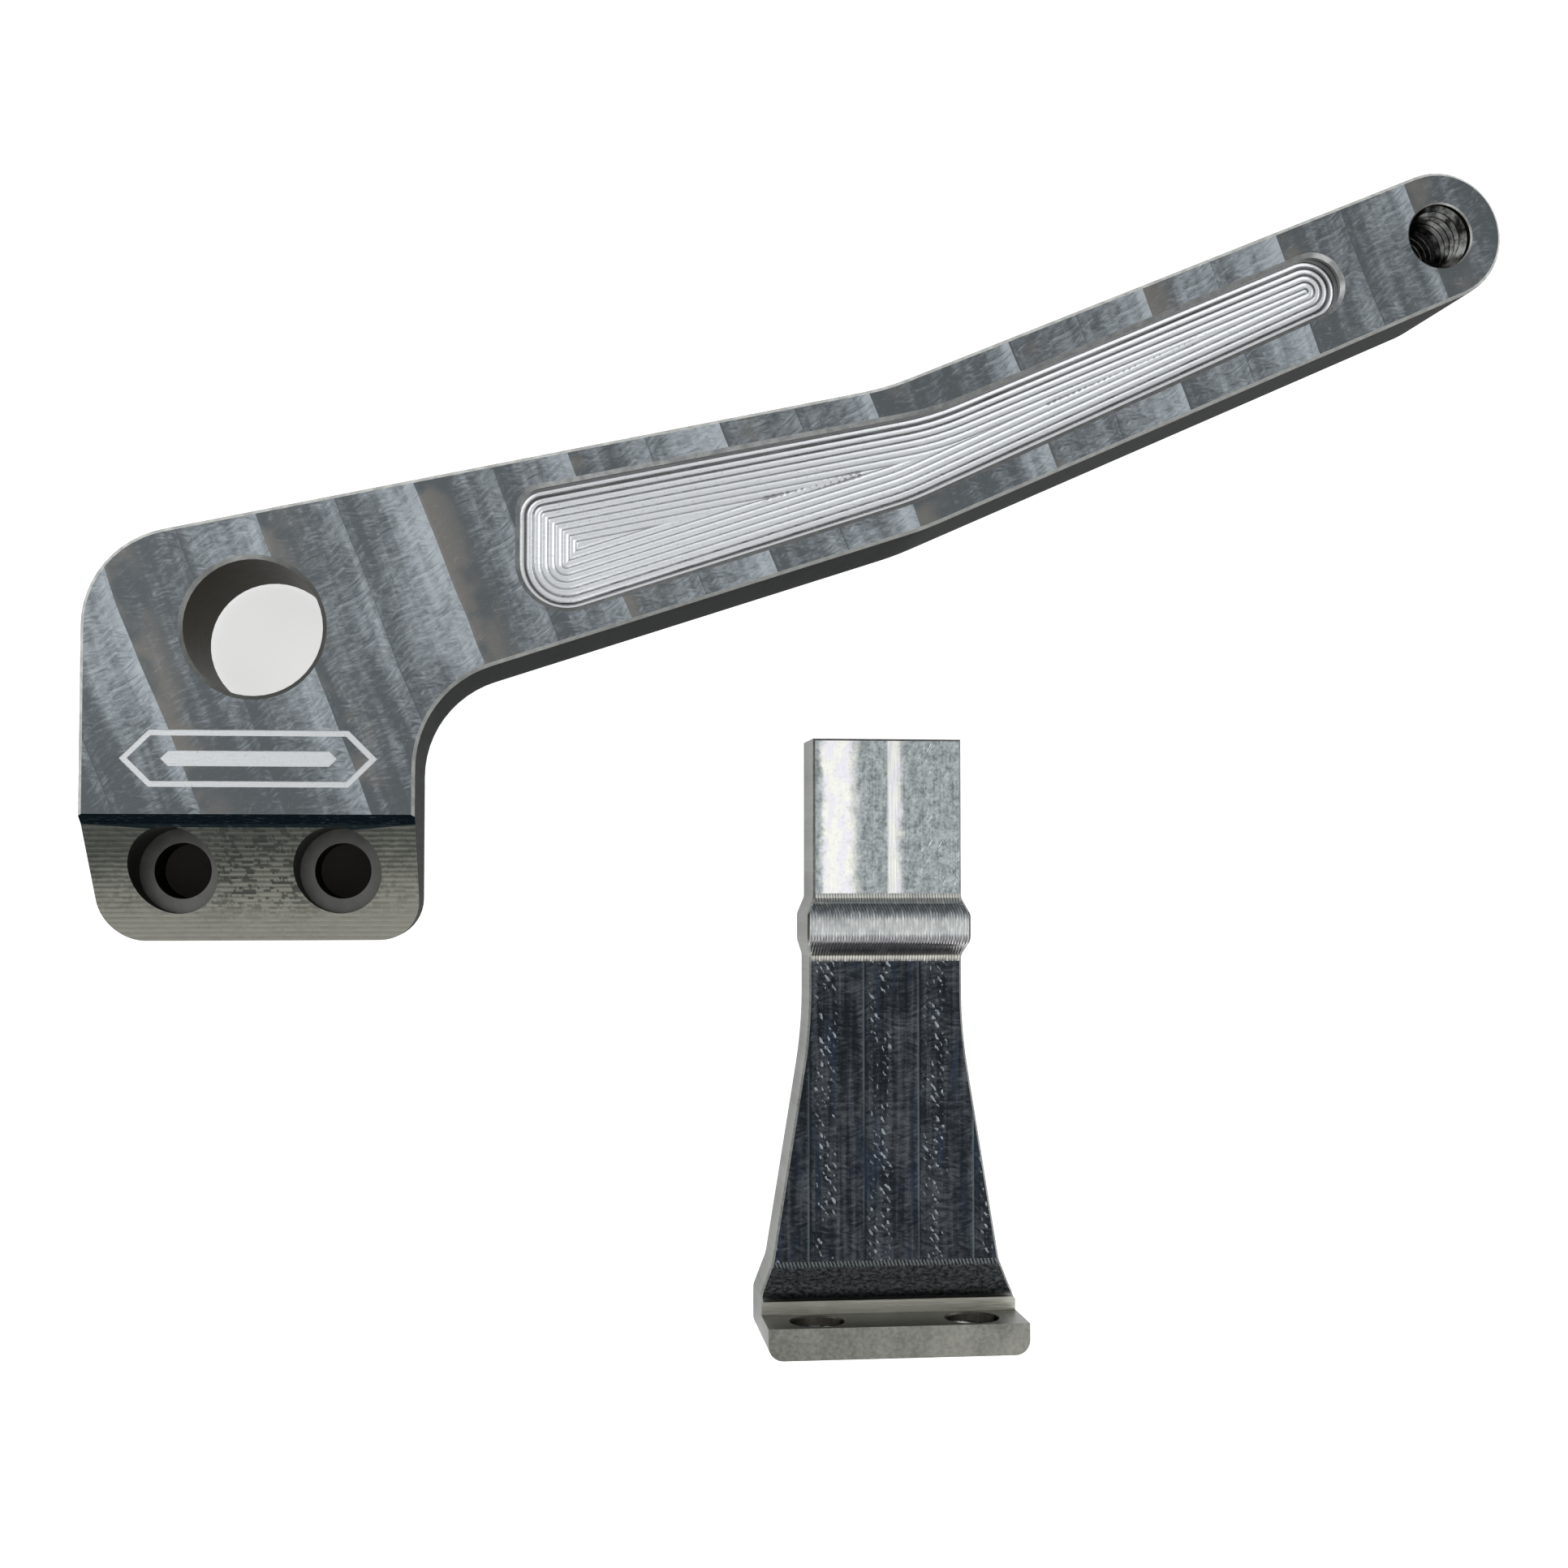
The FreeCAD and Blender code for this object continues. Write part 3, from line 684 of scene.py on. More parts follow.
RIDGE_FROM = 47.0
RIDGE_RUN = 8.6
RIDGE_STOPS = (
    (0.00, (0.10, 0.10, 0.10)),
    (0.07, (0.55, 0.53, 0.47)),
    (0.16, (0.16, 0.155, 0.16)),
    (0.24, (0.50, 0.48, 0.50)),
    (0.34, (0.24, 0.23, 0.25)),
    (0.42, (0.44, 0.47, 0.47)),
    (0.60, (0.38, 0.40, 0.40)),
    (0.70, (0.19, 0.22, 0.24)),
    (0.84, (0.25, 0.29, 0.30)),
    (0.93, (0.62, 0.62, 0.58)),
    (1.00, (0.22, 0.24, 0.24)),
)


def ridge_cut(name, colours, tick_pitch):
    """Ridge in rows: bright ticks, a blue-grey slope, a grey crest and long ticks."""
    finish = Finish(name)
    point, x, y, _ = finish.place()
    row = (y - (BRACKET_FOOT / MILLIMETRE + RIDGE_FROM)) / RIDGE_RUN
    ticks = finish.noise(finish.joined(x * 3.0, y * 0.8), 1.0, 2.0, 0.6)
    rows = finish.node("ShaderNodeValToRGB", {"stops": RIDGE_STOPS}, {"Fac": row}, "Color")
    cloud = finish.noise(point, 0.5, 3.0)
    base = finish.blend(ticks.rise(0.40, 0.75) * 0.55, rows, colours.ridge_tick)
    base = finish.blend(cloud.rise(0.45, 0.75) * 0.35, base, colours.ridge_cloud)
    lean = row.rise(0.66, 0.90) * 1.4 + (1.0 - row.rise(0.16, 0.40)) * 0.9
    across = (x - BRACKET_X / MILLIMETRE) / (tick_pitch / MILLIMETRE)
    beat = (across + lean).fraction()
    gap = (1.0 - beat.rise(0.10, 0.38)) * (0.5 + ticks)
    crest = row.rise(0.36, 0.42) * (1.0 - row.rise(0.58, 0.66))
    gap = gap * (1.0 - crest * 0.75)
    base = finish.blend(gap * 0.85, base, colours.ridge_gap)
    normal = finish.bump(ticks, LIGHT_RELIEF, 0.6)
    return finish.metal(base, 0.24 + cloud * 0.16, normal)


LEDGE_STEP = (5.3, 5.6)
SCALLOP_TICKS = (8.9, 9.3)


def lower_ledge(name, colours):
    """Beige ledge; beyond it dark scallops, with a row of ticks beside the panel."""
    finish = Finish(name)
    _, x, y, _ = finish.place()
    up = y - BRACKET_FOOT / MILLIMETRE
    out = 1.0 - up.rise(*LEDGE_STEP)
    scallop = finish.noise(finish.joined(x * 1.5, y * 3.0), 1.0, 3.0, 0.7)
    lines = finish.noise(finish.joined(x * 0.3, y * 4.0), 1.0, 2.0, 0.6)
    hollow = scallop.rise(0.36, 0.66)
    dark = finish.blend(hollow, colours.scallop_deep, colours.scallop_pale)
    beat = (x * 2.2 + y * 0.8).fraction()
    ticks = beat.rise(0.45, 0.75) * up.rise(*SCALLOP_TICKS)
    dark = finish.blend(ticks * 0.8, dark, colours.scallop_tick)
    pale = finish.blend(lines.rise(0.30, 0.70) * 0.35, colours.ledge, colours.ledge_line)
    base = finish.blend(out, dark, pale)
    normal = finish.bump(scallop * (1.0 - out) + lines * 0.5, CUT_RELIEF, 0.8)
    return finish.metal(base, 0.28 + lines * 0.14, normal)


# ---------------------------------------------------------------- mesh helpers


BODY_CREASE = math.radians(24.0)
MARK_CREASE = math.radians(50.0)
THREAD_CREASE = math.radians(35.0)


def new_piece(name, mesh, body):
    """Puts a mesh in the scene as a piece that rides on a body."""
    piece = bpy.data.objects.new(name, mesh)
    bpy.context.scene.collection.objects.link(piece)
    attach(piece, body)
    return piece


def mesh_from(name, points, faces, material):
    """A smooth-shaded mesh from points in metres."""
    mesh = bpy.data.meshes.new(name)
    mesh.from_pydata([tuple(point) for point in points], [], faces)
    mesh.materials.append(material)
    mesh.validate()
    work = bmesh.new()
    work.from_mesh(mesh)
    bmesh.ops.recalc_face_normals(work, faces=work.faces)
    work.to_mesh(mesh)
    work.free()
    mesh.shade_smooth()
    return mesh


def finished_copy(node, name, finishes, pick):
    """Copies a CAD node's mesh and gives each face the finish that pick() names."""
    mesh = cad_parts[node].data.copy()
    mesh.name = name
    mesh.materials.clear()
    order = {}
    for label, material in finishes.items():
        order[label] = len(order)
        mesh.materials.append(material)
    for face in mesh.polygons:
        face.material_index = order[pick(face.center, face.normal)]
    mesh.shade_smooth()
    mesh.set_sharp_from_angle(angle=BODY_CREASE)
    return mesh


def near(centre, hole, reach):
    return (Vector((centre.x, centre.y)) - hole).length < reach


def closed_slab(columns, sink):
    """Points and faces of a grid of columns, closed below by one plain row of faces."""
    wide = len(columns)
    rows = len(columns[0])
    points = [point for column in columns for point in column]
    base = len(points)
    for column in columns:
        points.append(Vector(column[0]) - sink)
        points.append(Vector(column[-1]) - sink)
    faces = []
    for i in range(wide - 1):
        low = i * rows
        high = low + rows - 1
        under = base + 2 * i
        for a in range(low, high):
            faces.append((a, a + rows, a + rows + 1, a + 1))
        faces.append((low, under, under + 2, low + rows))
        faces.append((high, high + rows, under + 3, under + 1))
        faces.append((under, under + 1, under + 3, under + 2))
    last = (wide - 1) * rows
    faces.append((*range(rows), base + 1, base))
    faces.append((*reversed(range(last, last + rows)), base + 2 * wide - 2, base + 2 * wide - 1))
    return points, faces


# ---------------------------------------------------------------- lever pieces


# Faces are told apart by how far their normals rise, from 1 where they lie level.
FLAT_UP = 0.99
NEARLY_FLAT = 0.95
LEVEL = 0.9
HALF_UP = 0.5
STEEP = 0.3
LEAN = 0.2
FLOOR_NEAR = 0.00005
RECESS_START = 0.02


def recess_outline():
    """The recess floor's outline, read from the lever's mesh, as an ordered loop."""
    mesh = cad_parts[LEVER_NODE].data
    counts = {}
    for face in mesh.polygons:
        flat = face.normal.z > FLAT_UP and abs(face.center.z - RECESS_FLOOR) < FLOOR_NEAR
        if flat and face.center.x > RECESS_START:
            count_edges(mesh, face, counts)
    rim = [edge for edge, seen in counts.items() if seen == 1]
    follow = {}
    for start, end in rim:
        follow.setdefault(start, []).append(end)
        follow.setdefault(end, []).append(start)
    loop = [rim[0][0]]
    before = None
    while len(loop) < len(follow):
        ahead = [point for point in follow[loop[-1]] if point != before]
        before = loop[-1]
        loop.append(ahead[0])
    return np.array(loop)


def count_edges(mesh, face, counts):
    """Adds a face's edges, keyed by their rounded plan corners."""
    corners = []
    for index in face.vertices:
        point = mesh.vertices[index].co
        corners.append((round(point.x, 7), round(point.y, 7)))
    for start, end in zip(corners, corners[1:] + corners[:1]):
        key = (min(start, end), max(start, end))
        counts[key] = counts.get(key, 0) + 1


def outline_heights(loop, x):
    """Lowest and highest y where an upright line at x crosses the outline."""
    ahead = np.roll(loop, -1, axis=0)
    hits = []
    for (x0, y0), (x1, y1) in zip(loop, ahead):
        if (x0 - x) * (x1 - x) <= 0.0 and x0 != x1:
            hits.append(y0 + (y1 - y0) * (x - x0) / (x1 - x0))
    return min(hits), max(hits)


def distance_to(loop, points):
    """Distance from each point to the outline."""
    starts = loop
    runs = np.roll(loop, -1, axis=0) - starts
    best = np.full(len(points), 1.0)
    for start, run in zip(starts, runs):
        long = max(float(run @ run), 1e-18)
        share = np.clip(((points - start) @ run) / long, 0.0, 1.0)
        gap = points - start - share[:, None] * run
        best = np.minimum(best, np.hypot(gap[:, 0], gap[:, 1]))
    return best


RECESS_ROWS = 230
RECESS_FINE_STEP = 0.0001
RECESS_STEP = 0.00035
RECESS_FINE_RUN = 0.0085
RECESS_CLEARANCE = 0.00002
RECESS_INSIDE = 0.00001
SLAB_SINK = 0.0004
# Where the last ring leaves steps along the recess, in metres.
LEFTOVERS = ((0.0595, 0.0715), (0.0945, 0.1135))
LEFTOVER_HALF = 0.00062
LEFTOVER_PITCH = 0.0010
LEFTOVER_HEIGHT = 0.00012
LEFTOVER_LEAN = 0.6


def recess_columns(low, high):
    """Column places along the recess: close together at both ends."""
    fine = np.arange(low, low + RECESS_FINE_RUN, RECESS_FINE_STEP)
    middle = np.arange(low + RECESS_FINE_RUN, high - RECESS_FINE_RUN, RECESS_STEP)
    end = np.arange(high - RECESS_FINE_RUN, high, RECESS_FINE_STEP)
    return np.concatenate([fine, middle, end])


def leftover_height(x, y, low, high):
    """Small steps that the last ring leaves down the middle of the floor."""
    height = 0.0
    for start, end in LEFTOVERS:
        if start < x < end:
            off = abs(y - (low + high) / 2) / LEFTOVER_HALF
            wave = abs(((x + y * LEFTOVER_LEAN) / LEFTOVER_PITCH) % 1.0 - 0.5) * 2.0
            height = LEFTOVER_HEIGHT * wave * max(0.0, 1.0 - off)
    return height


def grooved_floor(sizes, material):
    """The recess floor: rings of shallow grooves that follow the outline."""
    loop = recess_outline()
    inset = RECESS_CLEARANCE
    places = recess_columns(loop[:, 0].min() + inset, loop[:, 0].max() - inset)
    shares = np.linspace(0.0, 1.0, RECESS_ROWS)
    plan = []
    extra = []
    for x in places:
        low, high = outline_heights(loop, x)
        for share in shares:
            y = low + (high - low) * share
            plan.append((x, y))
            extra.append(leftover_height(x, y, low, high))
    plan = np.array(plan)
    depth = distance_to(loop, plan)
    phase = (depth / sizes.groove_pitch) % 1.0
    crest = (phase * 2.0 - 1.0) ** 2
    rise = sizes.groove_depth * crest + np.array(extra) + RECESS_CLEARANCE
    columns = []
    for i in range(len(places)):
        rows = range(i * RECESS_ROWS, (i + 1) * RECESS_ROWS)
        columns.append([(plan[k][0], plan[k][1], RECESS_FLOOR + rise[k]) for k in rows])
    points, faces = closed_slab(columns, Vector((0.0, 0.0, SLAB_SINK)))
    mesh = mesh_from("recess_floor_grooves", points, faces, material)
    mesh.set_sharp_from_angle(angle=MARK_CREASE)
    return new_piece("recess_floor_grooves", mesh, LEVER_BODY)


def in_recess(loop, point):
    """True where a plan point is inside the outline or just outside it."""
    first = loop[:, 0].min() + RECESS_INSIDE
    last = loop[:, 0].max() - RECESS_INSIDE
    x = min(max(point.x, first), last)
    low, high = outline_heights(loop, x)
    close = abs(point.x - x) < RECESS_MARGIN
    return close and low - RECESS_MARGIN < point.y < high + RECESS_MARGIN


SIGN_CENTRE = Vector((-0.0003, -0.0152))
SIGN_HALF = Vector((0.0149, 0.0035))
TOP_NEAR = 0.00003
RECESS_NEAR = 0.0001
PEG_CHAMFER = 0.0004
FOOT_GAP = 0.0004
BEVEL_BELOW = 0.0006
BEVEL_ABOVE = 0.0002


def pick_lever_finish(loop):
    """A function that names the finish of each face of the lever."""

    def pick(centre, normal):
        below_face = centre.z < PLATE_TOP - TOP_NEAR
        deep = RECESS_FLOOR - RECESS_NEAR < centre.z
        recessed = below_face and deep and in_recess(loop, centre)
        off = Vector((centre.x, centre.y)) - SIGN_CENTRE
        in_sign = abs(off.x) < SIGN_HALF.x and abs(off.y) < SIGN_HALF.y
        engraved = below_face and centre.z > PLATE_TOP - ENGRAVING_DEPTH - FLOOR_NEAR
        if recessed and abs(normal.z) < STEEP:
            return "wall"
        if recessed:
            return "rim" if normal.z < NEARLY_FLAT else "bright"
        if engraved and in_sign:
            return "wall" if normal.z < HALF_UP else "bright"
        if normal.z > FLAT_UP and not below_face:
            return "face"
        if near(centre, PIVOT, PIVOT_REACH) or near(centre, PEG, PEG_MAJOR + PEG_CHAMFER):
            return "edge" if LEAN < abs(normal.z) < NEARLY_FLAT else "bore"
        if any(near(centre, hole, HEAD_SEAT_REACH) for hole in BOLT_HOLES):
            return "seat"
        slanted = normal.y < -LEAN and normal.z > LEAN
        if slanted and centre.y < BEVEL_FOOT - FOOT_GAP and abs(normal.x) < LEAN:
            return "foot"
        if slanted and BEVEL_FOOT - BEVEL_BELOW < centre.y < BEVEL_TOP + BEVEL_ABOVE:
            return "bevel"
        if normal.z < -FLAT_UP:
            return "back"
        return "edge" if abs(normal.z) > STEEP else "side"

    return pick


def lever_finishes(sizes, colours):
    """Each finish of the lever by the name that its faces ask for."""
    return {
        "face": face_milled("lever_face_milled", colours, sizes.pass_width, 1.0),
        "back": face_milled("lever_back_milled", colours, sizes.pass_width, 7.0),
        "bright": bright_cut("lever_fresh_cut", colours),
        "wall": recess_wall("lever_recess_walls", colours),
        "foot": slanted_foot("lever_slanted_foot", colours),
        "bevel": shadow_metal("lever_steep_bevel", colours),
        "bore": turned_bore("lever_bore_walls", colours.bore, colours.bore_pale),
        # The head seats' deep colour is painted shade in the counterbores.
        "seat": turned_bore("lever_head_seats", colours.seat_deep, colours.seat_pale),
        "rim": broken_edge("lever_recess_rim", colours.rim_pale, colours.rim_deep),
        "edge": broken_edge("lever_broken_edge", colours.edge_pale, colours.edge_deep),
        "side": profiled_side(
            "lever_side_walls", colours.side_deep, colours.side_pale, colours.side_shade, 0.08
        ),
    }


# ---------------------------------------------------------------- threads


THREAD_STEPS = 40
THREAD_FADE = 0.75
THREAD_START = 0.02
CREST_HALF = 0.09
ROOT_HALF = 0.47
ROOT_SINK = 0.00004


def thread_ridge(name, spot, length, major, minor, pitch, material):
    """One helical ridge that stands inside a bore; spot carries the bore's axis to +Z."""
    turns = length / pitch - 2 * ROOT_HALF
    count = int(turns * THREAD_STEPS)
    points = []
    for step in range(count + 1):
        turn = step / THREAD_STEPS
        height = pitch * (turn + ROOT_HALF)
        end = min(turn, turns - turn) + THREAD_START
        fade = min(1.0, end / THREAD_FADE)
        crest = major - (major - minor) * fade
        angle = 2 * math.pi * turn
        profile = (
            (major + ROOT_SINK, -ROOT_HALF * pitch),
            (crest, -CREST_HALF * pitch),
            (crest, CREST_HALF * pitch),
            (major + ROOT_SINK, ROOT_HALF * pitch),
        )
        for radius, lift in profile:
            flat = (radius * math.cos(angle), radius * math.sin(angle), height + lift)
            points.append(spot @ Vector(flat))
    faces = []
    for step in range(count):
        low = step * 4
        for side in range(4):
            ahead = (side + 1) % 4
            faces.append((low + side, low + ahead, low + 4 + ahead, low + 4 + side))
    faces.append((0, 1, 2, 3))
    faces.append(tuple(count * 4 + side for side in (3, 2, 1, 0)))
    mesh = mesh_from(name, points, faces, material)
    mesh.set_sharp_from_angle(angle=THREAD_CREASE)
    return mesh


def thread_finish(name, pale, deep):
    """Freshly tapped thread: dark flanks with bright crests; in the tip, the dark is painted
    shade inside the hole.
    """
    finish = Finish(name)
    point, _, _, _ = finish.place()
    grain = finish.noise(point, 0.7, 3.0, 0.6)
    base = finish.blend(grain.rise(0.30, 0.70), deep, pale)
    return finish.metal(base, 0.12 + grain * 0.08, finish.bump(grain, FAINT_RELIEF, 0.2), 0.25)


# ---------------------------------------------------------------- bracket pieces


TAP_CHAMFER = 0.0003
PANEL_NEAR = 0.0001
RIDGE_BLEND = 0.001
LEDGE_TOP = 0.0125


def pick_bracket_finish(centre, normal):
    """Names the finish of each face of the bracket."""
    off = Vector((centre.x - BRACKET_X, centre.z - TAP_HEIGHT))
    for sign in (-1.0, 1.0):
        gap = (off - Vector((sign * TAP_SPREAD, 0.0))).length
        if gap < TAP_MAJOR + TAP_CHAMFER and abs(normal.y) < LEVEL:
            return "bore"
    if normal.z < -LEVEL:
        return "under"
    if abs(normal.x) > HALF_UP:
        return "side"
    level = abs(centre.z - PANEL_HEIGHT) < PANEL_NEAR
    if normal.z > FLAT_UP and level and centre.y > LEDGE_END:
        return "panel"
    if normal.z > STEEP and RIDGE_START < centre.y < RIDGE_END and centre.z > PANEL_HEIGHT:
        return "ridge"
    if normal.z > LEVEL and centre.y > RIDGE_END - RIDGE_BLEND:
        return "cap"
    if normal.z > LEVEL and centre.z > FLANGE_TOP - PANEL_NEAR:
        return "flange"
    if normal.z > STEEP and centre.y < LEDGE_END and centre.z < LEDGE_TOP:
        return "ledge"
    return "edge" if STEEP < normal.z < NEARLY_FLAT else "wall"


def bracket_finishes(sizes, colours):
    """Each finish of the bracket by the name that its faces ask for."""
    return {
        "cap": ground_cap("bracket_cap_end", colours),
        "ridge": ridge_cut("bracket_ridge", colours, sizes.tick_pitch),
        "panel": chattered_panel("bracket_panel", colours),
        "ledge": lower_ledge("bracket_ledge", colours),
        "flange": profiled_side("bracket_flange_top", colours.top_deep, colours.top_pale),
        "wall": profiled_side("bracket_flange_wall", colours.inner_deep, colours.inner_pale),
        "side": profiled_side(
            "bracket_side_walls", colours.flank_deep, colours.flank_pale, None, 0.6
        ),
        "under": profiled_side("bracket_underside", colours.under_deep, colours.under_pale),
        "edge": broken_edge("bracket_broken_edge", colours.rib_pale, colours.rib_deep),
        "bore": turned_bore("bracket_tap_walls", colours.bore, colours.bore_pale),
    }


TICK_SAMPLES = 6
TICK_GAP = 0.000008
TICK_SINK = 0.0004
# Start, end, slant, height share and half width of each row, from the bracket's foot.
TICK_ROWS = (
    (0.05425, 0.05490, 0.0, 1.0, 0.0092),
    (0.05235, 0.05415, 0.35, 0.6, 0.0096),
    (0.04900, 0.05080, 0.0, 0.8, 0.0100),
    (0.04780, 0.04890, 0.0, 1.0, 0.0095),
)
TICK_STEPS = 9
TICK_LEAN = 6.0
TICK_EYE = 0.03


def tick_row(name, tree, sizes, row, material):
    """One row of fine ticks, laid on the ridge by looking straight down at it."""
    start, end, slant, share, half_width = row
    step = sizes.tick_pitch / TICK_SAMPLES
    count = int(2 * half_width / step)
    columns = []
    for i in range(count + 1):
        across = -half_width + i * step
        column = []
        for j in range(TICK_STEPS):
            part = j / (TICK_STEPS - 1)
            y = BRACKET_FOOT + start + (end - start) * part
            phase = (across / sizes.tick_pitch + slant * part * TICK_LEAN) % 1.0
            fade = max(0.0, math.sin(math.pi * part)) ** 0.5
            lift = TICK_GAP + sizes.tick_depth * share * fade * abs(2 * phase - 1) ** 1.4
            origin = Vector((BRACKET_X + across, y, TICK_EYE))
            spot, normal, _, _ = tree.ray_cast(origin, Vector((0.0, 0.0, -1.0)))
            if spot is None:
                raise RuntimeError("the ridge isn't under its tick rows")
            column.append(spot + normal * lift)
        columns.append(column)
    points, faces = closed_slab(columns, Vector((0.0, 0.0, TICK_SINK)))
    mesh = mesh_from(name, points, faces, material)
    mesh.set_sharp_from_angle(angle=MARK_CREASE)
    return new_piece(name, mesh, BRACKET_BODY)


# ---------------------------------------------------------------- operators


class LEVER_OT_stage(bpy.types.Operator):
    """Lays the pale floor and sets the camera and the soft lights"""

    bl_idname = "lever.stage"
    bl_label = "Stage"

    def execute(self, context):
        scene = context.scene
        colours = scene.lever_colours
        lay_floor(colours)
        place_camera(scene)
        place_lights()
        light_room(scene, colours)
        scene.view_settings.view_transform = "Standard"
        return {"FINISHED"}


FLOOR_HALF = 6.0
FLOOR_DROP = 0.0001
# The spot of painted shade on the floor below the foot, in millimetres.
FOOT_SHADE_SPOT = (-0.3, -28.0)
FOOT_SHADE_SPOT_X = (13.0, 17.0)
FOOT_SHADE_SPOT_Y = (4.0, 7.0)
WHITE = (1.0, 1.0, 1.0)
BLACK = (0.0, 0.0, 0.0)


def lay_floor(colours):
    """A wide, softly glowing pale floor just under the pieces, with painted shade below the
    foot.
    """
    finish = Finish("pale_floor")
    point, x, y, _ = finish.place()
    mottle = finish.noise(point, 0.01, 2.0)
    base = finish.blend(mottle * 0.15, colours.floor, colours.floor_mottle)
    # Painted shade below the foot: the floor's colour and glow fade to dark in this spot.
    off_x = (x - FOOT_SHADE_SPOT[0]).size().rise(*FOOT_SHADE_SPOT_X)
    off_y = (y - FOOT_SHADE_SPOT[1]).size().rise(*FOOT_SHADE_SPOT_Y)
    painted_shade_under_foot = (1.0 - off_x) * (1.0 - off_y)
    glow = finish.blend(painted_shade_under_foot, WHITE, BLACK)
    base = finish.blend(painted_shade_under_foot, base, colours.floor_dim)
    material = finish.paper(base, glow)
    signs = ((-1, -1), (1, -1), (1, 1), (-1, 1))
    points = [(i * FLOOR_HALF, j * FLOOR_HALF, -FLOOR_DROP) for i, j in signs]
    mesh = mesh_from("pale_floor", points, [(0, 1, 2, 3)], material)
    floor = bpy.data.objects.new("pale_floor", mesh)
    bpy.context.scene.collection.objects.link(floor)


CAMERA_PLACE = (0.03304, -0.02810, 0.27003)
CAMERA_TILT = (2.357, -6.599, 0.0)
CAMERA_LENS = 48.45
CAMERA_SENSOR = 36.0
CAMERA_CLIP = (0.01, 50.0)


def place_camera(scene):
    """A camera that looks almost straight down, leaning a little to the right."""
    data = bpy.data.cameras.new("camera")
    data.lens = CAMERA_LENS
    data.sensor_width = CAMERA_SENSOR
    data.clip_start, data.clip_end = CAMERA_CLIP
    camera = bpy.data.objects.new("camera", data)
    camera.location = CAMERA_PLACE
    camera.rotation_euler = [math.radians(angle) for angle in CAMERA_TILT]
    scene.collection.objects.link(camera)
    scene.camera = camera


LIGHT_TARGET = Vector((0.06, -0.01, 0.0))
# Name, place, width and power of each lamp.
LIGHTS = (
    ("window", (-0.55, 0.45, 0.75), 1.10, 3.6),
    ("fill", (0.70, -0.25, 0.70), 1.00, 2.2),
    ("front", (0.05, -0.75, 0.45), 0.80, 1.2),
)


def place_lights():
    """Three wide soft lamps round the object."""
    for name, place, size, power in LIGHTS:
        data = bpy.data.lights.new(name, "AREA")
        data.shape = "DISK"
        data.size = size
        data.energy = power
        lamp = bpy.data.objects.new(name, data)
        lamp.location = place
        lamp.rotation_euler = (LIGHT_TARGET - Vector(place)).to_track_quat("-Z", "Y").to_euler()
        bpy.context.scene.collection.objects.link(lamp)


ROOM_RISE = (0.25, 0.98)
ROOM_STRENGTH = 0.95


def light_room(scene, colours):
    """A plain room round the stage: pale overhead, dimmer towards the floor."""
    world = bpy.data.worlds.new("pale_room")
    world.use_nodes = True
    web = Web(world.node_tree)
    way = web.node("ShaderNodeTexCoord", output="Generated")
    height = web.node("ShaderNodeSeparateXYZ", {}, {"Vector": way}, "Z")
    sky = web.blend(height.rise(*ROOM_RISE), colours.sky_low, WHITE)
    values = {"Color": sky, "Strength": ROOM_STRENGTH}
    web.close("ShaderNodeOutputWorld", web.node("ShaderNodeBackground", {}, values))
    scene.world = world


class LEVER_OT_arm(bpy.types.Operator):
    """Builds the lever arm with a finish on each machined surface"""

    bl_idname = "lever.arm"
    bl_label = "Lever arm"

    def execute(self, context):
        scene = context.scene
        finishes = lever_finishes(scene.lever_sizes, scene.lever_colours)
        pick = pick_lever_finish(recess_outline())
        mesh = finished_copy(LEVER_NODE, "lever_arm_finished", finishes, pick)
        piece = new_piece("lever_arm_finished", mesh, LEVER_BODY)
        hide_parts(LEVER_NODE)
        return {"FINISHED"}


CREST_SHARES = (0.50, 0.95)


class LEVER_OT_recess(bpy.types.Operator):
    """Cuts the rings of grooves on the floor of the lever's recess"""

    bl_idname = "lever.recess"
    bl_label = "Recess grooves"

    def execute(self, context):
        scene = context.scene
        sizes = scene.lever_sizes
        base = RECESS_FLOOR + RECESS_CLEARANCE
        crest = [(base + share * sizes.groove_depth) / MILLIMETRE for share in CREST_SHARES]
        material = bright_cut("recess_fresh_cut", scene.lever_colours, crest)
        grooved_floor(sizes, material)
        return {"FINISHED"}


class LEVER_OT_threads(bpy.types.Operator):
    """Cuts the thread in the lever's tip and the two in the bracket's flange"""

    bl_idname = "lever.threads"
    bl_label = "Threads"

    def execute(self, context):
        sizes = context.scene.lever_sizes
        colours = context.scene.lever_colours
        # The tip's thread: its deep colour is painted shade inside the hole.
        shiny = thread_finish("peg_thread_metal", colours.peg_pale, colours.peg_deep)
        spot = Matrix.Translation((PEG.x, PEG.y, 0.0))
        mesh = thread_ridge(
            "peg_thread", spot, PLATE_TOP, PEG_MAJOR, sizes.peg_minor, sizes.peg_pitch, shiny
        )
        new_piece("peg_thread", mesh, LEVER_BODY)
        tapped = thread_finish("tap_thread_metal", colours.tap_pale, colours.tap_deep)
        for name, sign in (("left", -1.0), ("right", 1.0)):
            across = BRACKET_X + sign * TAP_SPREAD
            turn = Matrix.Rotation(math.radians(-90.0), 4, "X")
            spot = Matrix.Translation((across, BRACKET_FOOT, TAP_HEIGHT)) @ turn
            mesh = thread_ridge(
                f"{name}_tap_thread",
                spot,
                FLANGE_THICKNESS,
                TAP_MAJOR,
                sizes.tap_minor,
                sizes.tap_pitch,
                tapped,
            )
            new_piece(f"{name}_tap_thread", mesh, BRACKET_BODY)
        return {"FINISHED"}


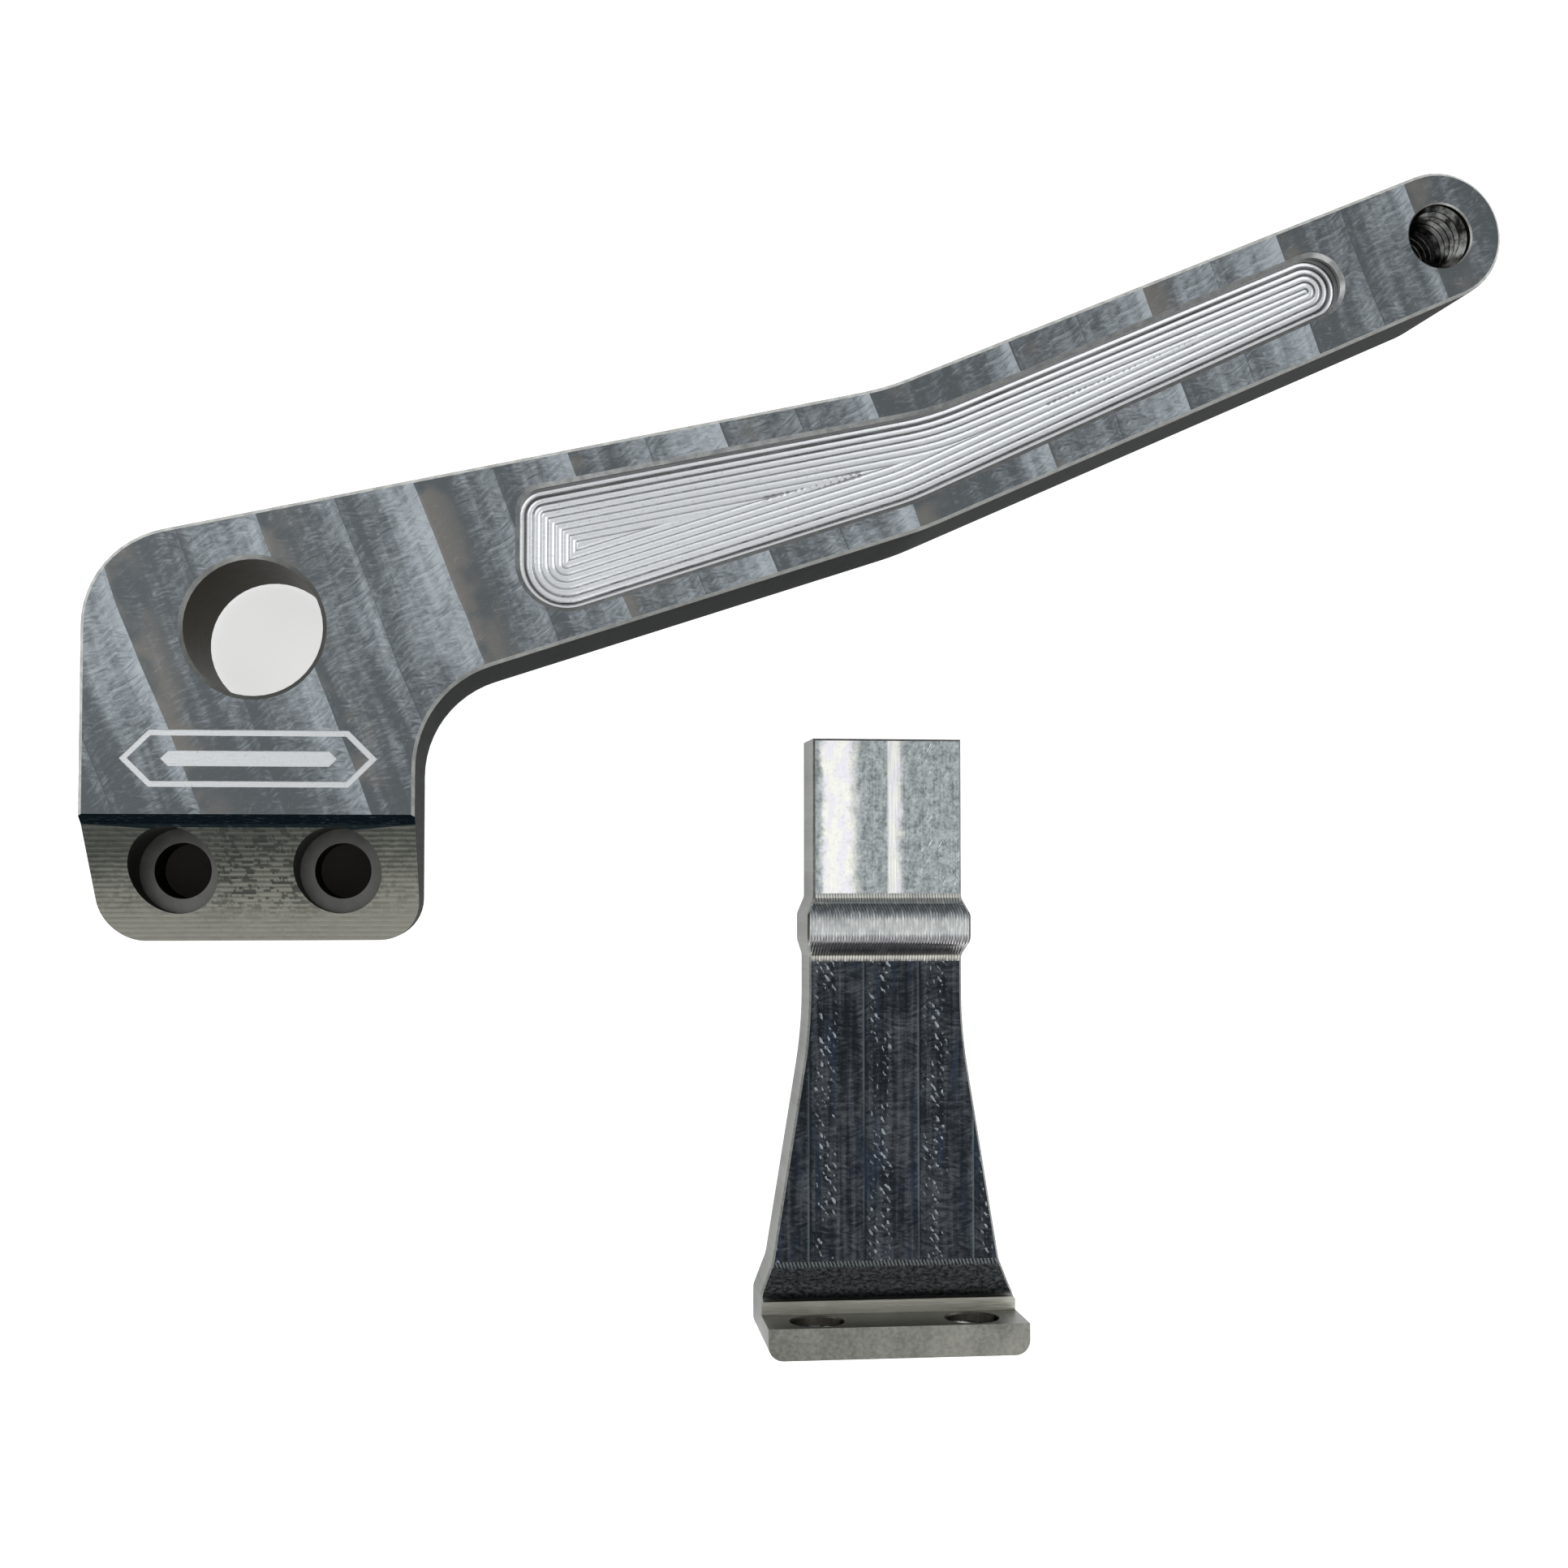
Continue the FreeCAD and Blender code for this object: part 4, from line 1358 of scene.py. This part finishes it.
class LEVER_OT_bracket(bpy.types.Operator):
    """Builds the linkage bracket with a finish on each machined surface"""

    bl_idname = "lever.bracket"
    bl_label = "Linkage bracket"

    def execute(self, context):
        scene = context.scene
        finishes = bracket_finishes(scene.lever_sizes, scene.lever_colours)
        mesh = finished_copy(
            BRACKET_NODE, "linkage_bracket_finished", finishes, pick_bracket_finish
        )
        piece = new_piece("linkage_bracket_finished", mesh, BRACKET_BODY)
        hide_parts(BRACKET_NODE)
        return {"FINISHED"}


class LEVER_OT_ticks(bpy.types.Operator):
    """Cuts the rows of fine ticks across the bracket's ridge"""

    bl_idname = "lever.ticks"
    bl_label = "Ridge ticks"

    def execute(self, context):
        scene = context.scene
        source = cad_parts[BRACKET_NODE].data
        points = [point.co for point in source.vertices]
        faces = [tuple(face.vertices) for face in source.polygons]
        tree = BVHTree.FromPolygons(points, faces)
        sizes = scene.lever_sizes
        material = ridge_cut("ridge_tick_metal", scene.lever_colours, sizes.tick_pitch)
        for number, row in enumerate(TICK_ROWS, start=1):
            tick_row(f"ridge_ticks_{number}", tree, sizes, row, material)
        return {"FINISHED"}


class LEVER_PT_panel(bpy.types.Panel):
    """Lists the steps that build the lever and its bracket"""

    bl_idname = "LEVER_PT_panel"
    bl_label = "Shift Lever"
    bl_space_type = "VIEW_3D"
    bl_region_type = "UI"
    bl_category = "Shift Lever"

    def draw(self, context):
        for operator in OPERATORS:
            self.layout.operator(operator.bl_idname)
        self.list_settings(context.scene.lever_sizes)
        self.list_settings(context.scene.lever_colours)

    def list_settings(self, group):
        column = self.layout.column(align=True)
        for name in group.__annotations__:
            column.prop(group, name)


OPERATORS = (
    LEVER_OT_stage,
    LEVER_OT_arm,
    LEVER_OT_recess,
    LEVER_OT_threads,
    LEVER_OT_bracket,
    LEVER_OT_ticks,
)
CLASSES = (LeverSizes, LeverColours, *OPERATORS, LEVER_PT_panel)


def register():
    for each in CLASSES:
        bpy.utils.register_class(each)
    bpy.types.Scene.lever_sizes = bpy.props.PointerProperty(type=LeverSizes)
    bpy.types.Scene.lever_colours = bpy.props.PointerProperty(type=LeverColours)


def unregister():
    del bpy.types.Scene.lever_colours
    del bpy.types.Scene.lever_sizes
    for each in reversed(CLASSES):
        bpy.utils.unregister_class(each)


def main():
    register()
    bpy.ops.lever.stage()
    bpy.ops.lever.arm()
    bpy.ops.lever.recess()
    bpy.ops.lever.threads()
    bpy.ops.lever.bracket()
    bpy.ops.lever.ticks()


if __name__ == "__main__":
    main()
